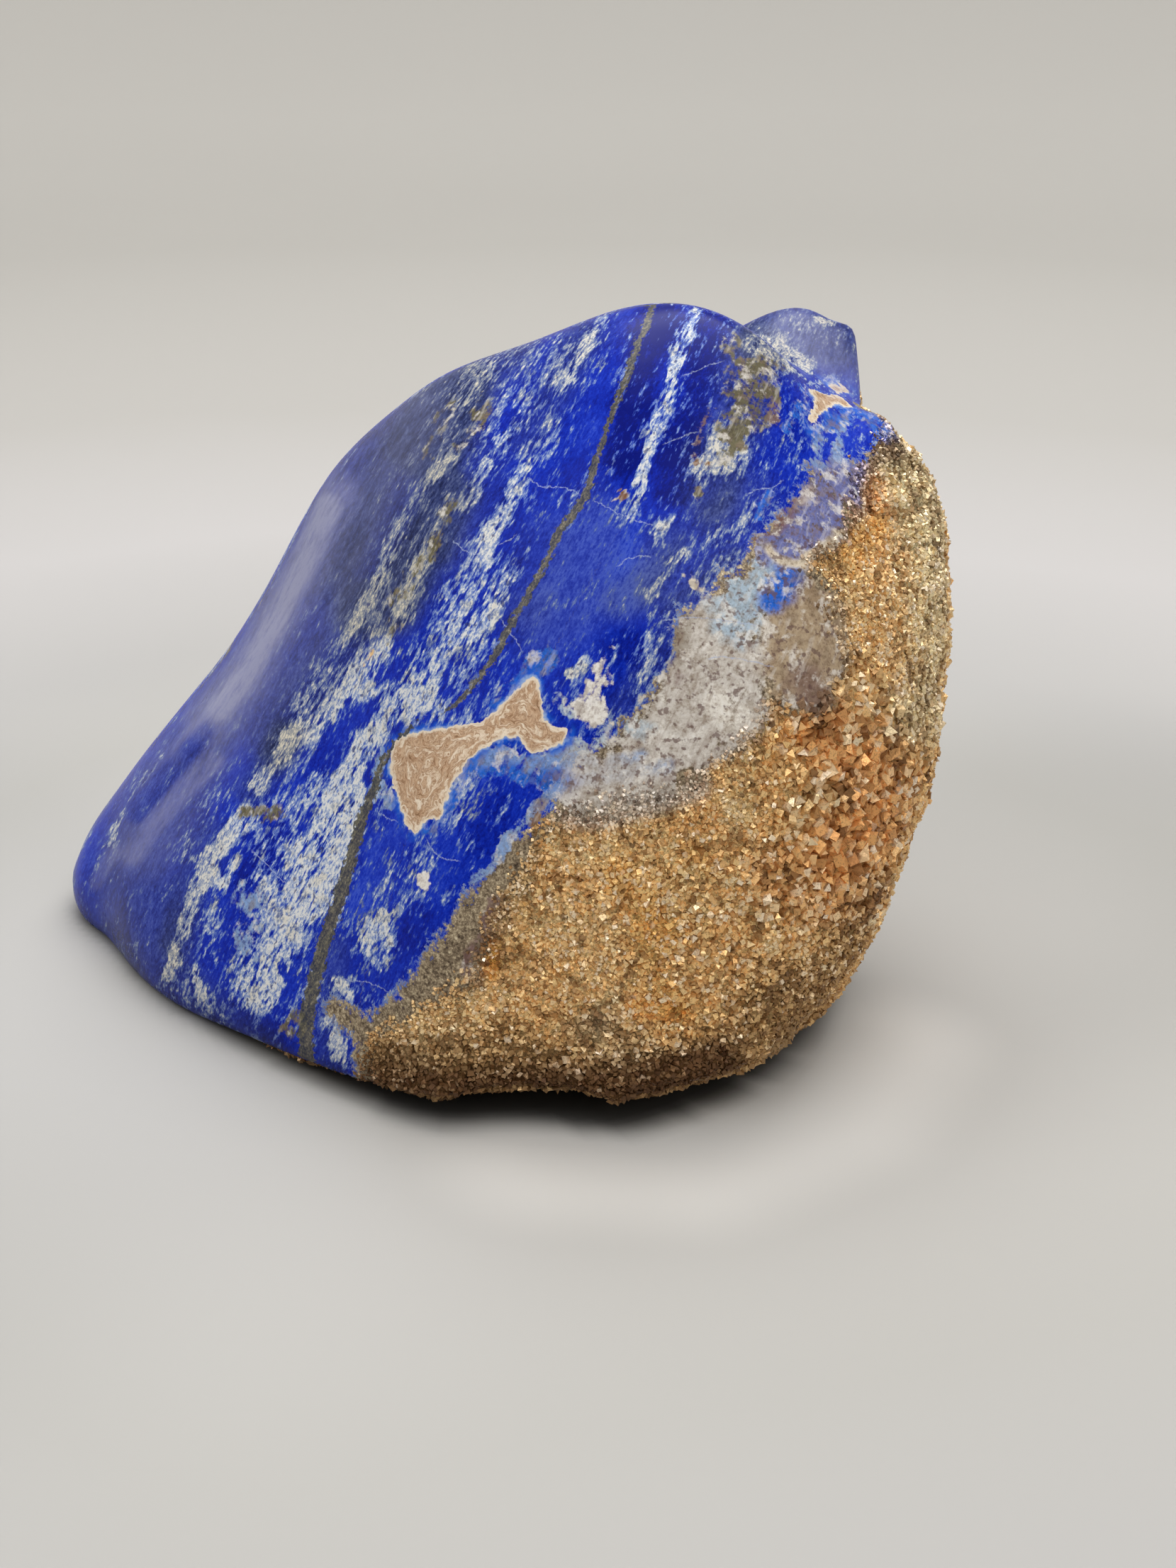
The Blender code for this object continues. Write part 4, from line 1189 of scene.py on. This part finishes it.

    # Painted shade: all colours are darkened towards the bottom of the stone.
    colour = m.mix(m.times(low, 0.4), colour, m.mix(1.0, colour, rgb(120, 116, 116), "MULTIPLY"))
    m.put(m.bsdf.inputs["Base Color"], colour)
    bare = m.times(past, m.rest(covered))
    metal = m.math("MAXIMUM", m.times(vein, 0.3), m.times(bare, 0.3))
    m.put(m.bsdf.inputs["Metallic"], m.math("MAXIMUM", metal, m.times(rough, 0.5)))
    gloss = m.plus(m.fit(broad, 0.3, 0.7, 0.22, 0.34), m.times(fleck, 0.06), m.times(past, 0.16), m.times(painted_sheen, 0.12))
    m.put(m.bsdf.inputs["Roughness"], m.math("ADD", gloss, m.times(rough, 0.15), clamp=True))
    m.bsdf.inputs["IOR"].default_value = 1.5
    m.bsdf.inputs["Specular IOR Level"].default_value = 0.08
    lapped = m.bump(m.plus(m.times(tuft, 0.10), m.times(fleck, 0.10)), 0.3, 0.0002)
    facet = m.vector("SUBTRACT", m.cells(place, 1.3, "Color"), (0.5, 0.5, 0.5))
    facet = m.vector("SCALE", facet, scale=m.times(rough, 1.1))
    coarse = m.times(m.plus(dust, m.cells(place, 1.1)), rough)
    m.put(m.bsdf.inputs["Normal"], m.bump(coarse, 0.8, 0.0005, m.vector("NORMALIZE", m.vector("ADD", lapped, facet))))
    return m.material


def grain_material(name, metallic, rough):
    m = Nodes(name)
    place = m.place()
    tint = m.attribute("tint", "Color")
    pit = m.noise(place, 2.6, 3.0, 0.65)
    colour = m.mix(m.step(0.50, 0.36, pit), tint, m.mix(0.45, tint, rgb(84, 56, 30)))
    m.put(m.bsdf.inputs["Base Color"], colour)
    m.bsdf.inputs["Metallic"].default_value = metallic
    shine = m.attribute("shine")
    m.put(m.bsdf.inputs["Roughness"], m.math("ADD", m.fit(shine, 0.0, 1.0, rough + 0.22, rough - 0.10), m.fit(pit, 0.35, 0.65, 0.08, -0.04)))
    m.put(m.bsdf.inputs["Normal"], m.bump(m.noise(place, 1.8, 2.0, 0.6), 0.4, 0.0002))
    return m.material


# ---------------------------------------------------------------------------------
CUBE = np.array([(x, y, z) for x in (-1, 1) for y in (-1, 1) for z in (-1, 1)], float)
CUBE_SIDES = [(0, 1, 3, 2), (4, 6, 7, 5), (0, 4, 5, 1), (2, 3, 7, 6), (0, 2, 6, 4), (1, 5, 7, 3)]
CUBE_FACES = np.array([t for a, b, c, d in CUBE_SIDES for t in ((a, b, c), (a, c, d))])
STUMP = 1.5 * np.array([(1, 0, 0), (-1, 0, 0), (0, 1, 0), (0, -1, 0), (0, 0, 1), (0, 0, -1)], float)
STUMP_FACES = np.array([(4, 0, 2), (4, 2, 1), (4, 1, 3), (4, 3, 0), (5, 2, 0), (5, 1, 2), (5, 3, 1), (5, 0, 3)])


def spread(count, rng, gap, near=0.82):
    """Places for grains on the rind, no two closer than the gap there allows."""
    p, n, quads, _ = body_points(90, 0.8)
    view = shown(p, n)
    sheet = seen_at(p)
    rind = rind_of(p, sheet, view)
    p = stood(p + n * relief(p, sheet, view, rind)[:, None])
    tri = np.concatenate([quads[:, [0, 1, 2]], quads[:, [0, 2, 3]]])
    a, b, c = p[tri[:, 0]], p[tri[:, 1]], p[tri[:, 2]]
    area = np.linalg.norm(np.cross(b - a, c - a), axis=1) / 2
    # Few grains are needed on the underside, and the ones on view are finest.
    weight = area * (rind[tri].max(1) > -3.5) * (p[tri][:, :, 2].max(1) > 0.6) * (0.45 + 0.55 * view[tri].mean(1))
    pick = rng.choice(len(tri), count, p=weight / weight.sum())
    u, v = rng.random(count), rng.random(count)
    flip = u + v > 1
    u[flip], v[flip] = 1 - u[flip], 1 - v[flip]
    w = np.stack([1 - u - v, u, v], 1)
    q = (p[tri[pick]] * w[:, :, None]).sum(1)
    normal = (n[tri[pick]] * w[:, :, None]).sum(1)
    normal /= np.linalg.norm(normal, axis=1)[:, None]
    depth, seen = (rind[tri[pick]] * w).sum(1), (view[tri[pick]] * w).sum(1)
    here = seen_at(q)
    size = gap(q, here, seen, depth)
    keep, cells = [], {}
    spots = q.tolist()
    sizes = size.tolist()
    for i in range(count):
        if sizes[i] <= 0:
            continue
        x, y, z = spots[i]
        kx, ky, kz = int(x // 1), int(y // 1), int(z // 1)
        clash = False
        for dx in (-1, 0, 1):
            for dy in (-1, 0, 1):
                for dz in (-1, 0, 1):
                    for j in cells.get((kx + dx, ky + dy, kz + dz), ()):
                        a, b, c = spots[j]
                        if (a - x) ** 2 + (b - y) ** 2 + (c - z) ** 2 < (0.5 * near * (sizes[i] + sizes[j])) ** 2:
                            clash = True
                            break
                    if clash:
                        break
                if clash:
                    break
            if clash:
                break
        if not clash:
            cells.setdefault((kx, ky, kz), []).append(i)
            keep.append(i)
    keep = np.array(keep)
    return q[keep], normal[keep], depth[keep], seen[keep], here[keep], size[keep]


def turns(count, rng):
    """Random rotations."""
    q = rng.normal(size=(count, 4))
    q /= np.linalg.norm(q, axis=1)[:, None]
    w, x, y, z = q.T
    return np.stack(
        [
            np.stack([1 - 2 * (y * y + z * z), 2 * (x * y - z * w), 2 * (x * z + y * w)], 1),
            np.stack([2 * (x * y + z * w), 1 - 2 * (x * x + z * z), 2 * (y * z - x * w)], 1),
            np.stack([2 * (x * z - y * w), 2 * (y * z + x * w), 1 - 2 * (x * x + y * y)], 1),
        ],
        1,
    )


def grains(material):
    rng = np.random.default_rng(20)

    def gap(q, here, seen, depth):
        coarse = strokes(here, [(0.75, 90, [(1180, 1030), (1215, 1090), (1195, 1160)]), (0.35, 60, [(1170, 1230), (1120, 1270)]), (0.10, 70, [(1060, 1240), (1000, 1360)]), (-0.08, 60, [(1150, 880), (1120, 960)]), (-0.08, 60, [(820, 1160), (920, 1140)])]) * seen
        size = 0.92 - 0.24 * seen + coarse + 0.10 * noise(q, 14, 71, 2)
        size *= 0.72 + 0.28 * smooth(-1, 5, depth)
        thin = smooth(-3.0, 2.5, depth + 1.8 * noise(q, 3.0, 72, 2) + rng.normal(0, 0.6, len(q)))
        return np.where(rng.random(len(q)) < thin, size * rng.uniform(0.8, 1.25, len(q)), 0)

    q, normal, depth, seen, here, size = spread(230000, rng, gap)
    count = len(q)
    base = rind_colour(q, here, seen) * 1.46
    other, much = patches_at(q, here, seen)
    base += (other - base) * (smooth(4.5, 0.0, depth + 1.5 * noise(q, 4.0, 75, 2)) * np.clip(much * 1.2, 0, 1) * seen * 0.85)[:, None]
    cluster = np.exp(0.38 * noise(q, 3.0, 73, 2) + 0.24 * noise(q, 9, 74, 2))
    seam = seams(q)
    # Each grain's tone varies at random and in clumps; the seams between the clumps get painted shade.
    value = rng.lognormal(-0.02, 0.45, count) * cluster * (1 - 0.62 * seam)
    # Painted shade: grains that face downwards low on the stone are darker.
    value *= 1 - 0.60 * smooth(0.05, -0.6, normal[:, 2]) * smooth(50, 10, q[:, 2])
    bright = rng.random(count) < 0.07
    value[bright] *= 1.5
    value = 1 + (value - 1) * (1 - 0.35 * smooth(32, 10, q[:, 2]))
    value = np.clip(value, 0.22, 2.4)
    tint = base * np.minimum(value, 1.5)[:, None]
    # Painted highlights: the brightest grains are turned towards a near-white glint colour.
    lit = smooth(1.2, 2.3, value) * np.clip(base @ np.array((0.3, 0.5, 0.2)) / 0.45, 0.1, 1) * 0.75
    gilt = smooth(0.9, 1.6, value) * 0.5 * np.clip(base @ np.array((0.3, 0.5, 0.2)) / 0.45, 0.1, 1)
    tint += (ink("straw") * np.minimum(value, 1.5)[:, None] - tint) * gilt[:, None]
    tint += (ink("glint") - tint) * lit[:, None]
    # The dark ones are browner and the bright ones paler.
    deep = np.clip(1 - value, -0.6, 0.7) * 0.34 + rng.normal(0, 0.025, count)
    tint *= np.stack([np.ones(count), 1 - np.where(deep > 0, 0.85, 0.25) * deep, 1 - 1.4 * deep], 1)
    shine = np.clip(rng.beta(1.3, 2.0, count) + 0.5 * bright, 0, 1)
    # Painted glints: grains at these places are turned near white and made smoother.
    for x, y, r in PAINTED_GLINTS:
        near = smooth(r * 1.3, r * 0.7, np.hypot(here[:, 0] - x, here[:, 1] - y)) * seen
        tint += (ink("glint") - tint) * near[:, None] * 0.9
        shine = np.maximum(shine, near)
    tint /= np.maximum(tint.max(1), 0.92)[:, None] / 0.92
    up = (rng.normal(0.02, 0.15, count) - 0.25 * seam) * size
    middle = q + normal * up[:, None]
    print("grains", count)

    boxy = rng.random(count) < 0.5
    made = []
    for kind, shape, shape_faces, share in (("cubes", CUBE, CUBE_FACES, 16000), ("stumps", STUMP, STUMP_FACES, 24000)):
        some = np.flatnonzero(boxy if kind == "cubes" else ~boxy)
        corners = len(shape)
        points = shape[None] * (1 + rng.normal(0, 0.20, (len(some), corners, 3)))
        points *= rng.uniform(0.55, 1.0, (len(some), 1, 3)) * (size[some] * 0.68)[:, None, None]
        points = np.einsum("nij,nkj->nki", turns(len(some), rng), points)
        points += middle[some][:, None]
        points[:, :, 2] = np.maximum(points[:, :, 2], 0.02)
        sides = len(shape_faces)
        for k in range(0, len(some), share):
            part = points[k : k + share]
            index = (np.arange(len(part))[:, None, None] * corners + shape_faces[None]).reshape(-1, 3)
            # Each grain has its own cell in the flat map, with a tile for each triangle.
            rows = math.ceil(math.sqrt(len(part)))
            cell = np.stack([np.arange(len(part)) % rows, np.arange(len(part)) // rows], 1)
            tile = np.stack([np.arange(sides) % 4, np.arange(sides) // 4], 1) / np.array((4.0, sides // 4))
            corner = np.array([(0.1, 0.1), (0.9, 0.1), (0.1, 0.9)]) / np.array((4.0, sides // 4))
            flat = (cell[:, None, None] + 0.04 + 0.92 * (tile[None, :, None] + corner[None, None])) / rows
            obj = make_mesh(f"pyrite_{kind}_{k // share + 1}", part.reshape(-1, 3), index, flat.reshape(-1, 2), flat=True)
            add_colour(obj.data, "tint", np.repeat(tint[some[k : k + share]], corners, axis=0))
            add_float(obj.data, "shine", np.repeat(shine[some[k : k + share]], corners))
            obj.data.materials.append(material)
            made.append(obj)
    print("triangles of grains", sum(len(o.data.polygons) for o in made), "in", len(made))
    return made


# ---------------------------------------------------------------------------------
def camera():
    data = bpy.data.cameras.new("camera")
    data.sensor_width = 24.0
    data.lens = 24.0 * FOCAL / HIGH
    data.clip_start = 0.01
    obj = bpy.data.objects.new("camera", data)
    bpy.context.scene.collection.objects.link(obj)
    obj.location = Vector((EYE - ORIGIN) * MM)
    obj.rotation_euler = (math.radians(90) - PITCH, 0, 0)
    bpy.context.scene.camera = obj
    return obj


# Painted light and shade on the paper round the stone, a lighter pool along its front right edge and darker patches to
# its right and left: amount, half width, path, in millimetres.
PAPER_LIGHT_AND_SHADE = [
    (0.30, 20, [(16, -64), (36, -66), (58, -50), (70, -26)]),
    (-0.14, 74, [(108, 34), (135, 70)]),
    (-0.09, 80, [(-130, 40), (-120, -60)]),
]


def stage():
    """A round pale floor that curves up into a wall, all in one."""
    ring = 240
    profile = [(0.0, 0.0)] + [(r, 0.0) for r in np.linspace(0.002, 0.12, 60)] + [(r, 0.0) for r in np.linspace(0.125, 0.3, 26)] + [(r, 0.0) for r in np.linspace(0.33, 1.0, 16)]
    profile += [(1.0 + 0.9 * math.sin(a), 0.9 - 0.9 * math.cos(a)) for a in np.linspace(0.06, math.pi / 2, 30)]
    profile += [(1.9, h) for h in np.linspace(1.0, 1.6, 6)]
    verts = [(0.0, 0.0, -0.00002)]
    for r, h in profile[1:]:
        verts += [(r * math.cos(2 * math.pi * k / ring), r * math.sin(2 * math.pi * k / ring), h - 0.00002) for k in range(ring)]
    faces = [(0, 1 + k, 1 + (k + 1) % ring) for k in range(ring)]
    for i in range(len(profile) - 2):
        a, b = 1 + i * ring, 1 + (i + 1) * ring
        faces += [(a + k, b + k, b + (k + 1) % ring, a + (k + 1) % ring) for k in range(ring)]
    # A contact shadow is painted on the paper: it is darkened under the stone's low outline, and a little past it at
    # the front left, where the stone curves in above it.
    low = np.array([tuple(p) for p in points if p[2] < 22 - 15 * smooth(-10, 45, p[0])]) - ORIGIN
    turn = np.round((np.arctan2(low[:, 1], low[:, 0]) / (2 * math.pi)) * 120).astype(int) % 120
    reach = np.array([np.hypot(*low[turn == k, :2].T).max() for k in range(120)])
    flat = np.array(verts)[:, :2] / MM
    at = (np.arctan2(flat[:, 1], flat[:, 0]) / (2 * math.pi) * 120) % 120
    edge = np.interp(at, np.arange(121), np.append(reach, reach[0]))
    mesh = bpy.data.meshes.new("floor")
    mesh.from_pydata(verts, [], faces)
    behind = smooth(0, 30, flat[:, 0]) * smooth(0, 25, flat[:, 1])
    out = 1.0 + 2.8 * smooth(-66, -44, flat[:, 0]) * smooth(10, -16, flat[:, 0])
    add_float(mesh, "under", smooth(0.0, 10.0, edge + out - np.hypot(*flat.T)) * (1 - behind))
    add_float(mesh, "painted_light_and_shade", strokes(flat, PAPER_LIGHT_AND_SHADE))
    mesh.shade_smooth()
    obj = bpy.data.objects.new("floor", mesh)
    bpy.context.scene.collection.objects.link(obj)
    m = Nodes("pale_paper")
    place = m.place()
    out = m.tree.nodes.new("ShaderNodeVectorMath")
    out.operation = "LENGTH"
    m.put(out.inputs[0], place)
    # Painted light and shade: the paper's tone rises and falls with the distance from the middle, lighter within about
    # 90 mm, a bright band at about 330 mm, darker between and beyond, lighter again far out.
    tone = m.plus(m.fit(out.outputs["Value"], 0.0, 2000.0, 0.0, 1.0), m.fit(m.noise(place, 0.004, 2.0, 0.5), 0.3, 0.7, -0.01, 0.01))
    paper = m.ramp(tone, [(0.044, rgb(192, 190, 186)), (0.077, rgb(180, 178, 173)), (0.104, rgb(178, 176, 173)), (0.165, rgb(190, 187, 185)), (0.25, rgb(180, 177, 172)), (0.45, rgb(178, 175, 169)), (0.62, rgb(188, 185, 179))])
    # The painted pools of light and shade are laid on.
    paper = m.vector("SCALE", paper, scale=m.plus(1.0, m.attribute("painted_light_and_shade")))
    # Painted contact shadow: the paper turns nearly black under the stone.
    paper = m.mix(m.times(m.attribute("under"), 0.9), paper, rgb(30, 29, 28))
    part = m.tree.nodes.new("ShaderNodeSeparateXYZ")
    m.put(part.inputs[0], place)
    m.put(m.bsdf.inputs["Base Color"], m.mix(m.step(350.0, 900.0, part.outputs["Z"]), paper, rgb(156, 154, 149)))
    m.bsdf.inputs["Roughness"].default_value = 0.8
    m.bsdf.inputs["Specular IOR Level"].default_value = 0.2
    mesh.materials.append(m.material)
    return obj


def softbox(name, way, distance, size, radiance, colour=(1, 1, 1), lift=0.0, aim=(0, 0, 0.05)):
    """A soft light in a direction, given as how far round from +Y and how high, with
    the same brightness whatever its size."""
    round_, high = (math.radians(a) for a in way)
    data = bpy.data.lights.new(name, "AREA")
    data.shape = "RECTANGLE"
    data.size, data.size_y = size
    data.energy = radiance * math.pi * size[0] * size[1]
    data.color = colour
    obj = bpy.data.objects.new(name, data)
    place = Vector((math.cos(high) * math.sin(round_), math.cos(high) * math.cos(round_), math.sin(high))) * distance
    place.z += lift
    obj.location = place
    obj.rotation_euler = (Vector(aim) - place).to_track_quat("-Z", "Y").to_euler()
    obj.visible_camera = False
    bpy.context.scene.collection.objects.link(obj)
    return obj


def light():
    """Even light from all round, dimmer straight above, with soft boxes."""
    world = bpy.data.worlds.new("world")
    bpy.context.scene.world = world
    world.use_nodes = True
    tree = world.node_tree
    way = tree.nodes.new("ShaderNodeTexCoord")
    part = tree.nodes.new("ShaderNodeSeparateXYZ")
    ramp = tree.nodes.new("ShaderNodeValToRGB")
    tree.links.new(way.outputs["Generated"], part.inputs[0])
    tree.links.new(part.outputs["Z"], ramp.inputs[0])
    tree.links.new(ramp.outputs["Color"], tree.nodes["Background"].inputs[0])
    stops = [(0.0, 0.75), (0.55, 0.85), (0.80, 0.55), (0.92, 0.30)]
    while len(ramp.color_ramp.elements) < len(stops):
        ramp.color_ramp.elements.new(0.5)
    for element, (at, value) in zip(ramp.color_ramp.elements, stops):
        element.position = at
        element.color = (value * 0.99, value * 0.99, value, 1.0)
    tree.nodes["Background"].inputs[1].default_value = 1.0
    softbox("overhead_back", (10, 65), 1.5, (1.5, 1.2), 3.6)
    softbox("overhead_front", (176, 60), 1.5, (1.3, 0.8), 1.7)
    softbox("window_left", (-104, 34), 1.5, (1.0, 0.9), 1.3, (0.97, 0.98, 1.0))
    softbox("front_right", (146, 40), 1.4, (0.9, 0.8), 1.1, (1.0, 0.985, 0.96))
    softbox("low_left_back", (-38, 2.6), 1.6, (0.9, 0.15), 3.4, (0.98, 0.99, 1.0))


# ---------------------------------------------------------------------------------
camera()
stage()
light()
body = stone()
body.data.materials.append(stone_material())
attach(body, "root")
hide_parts("lapis_freeform")
for piece in grains(grain_material("pyrite", 0.58, 0.32)):
    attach(piece, "root")

bpy.context.scene.view_settings.view_transform = "Standard"
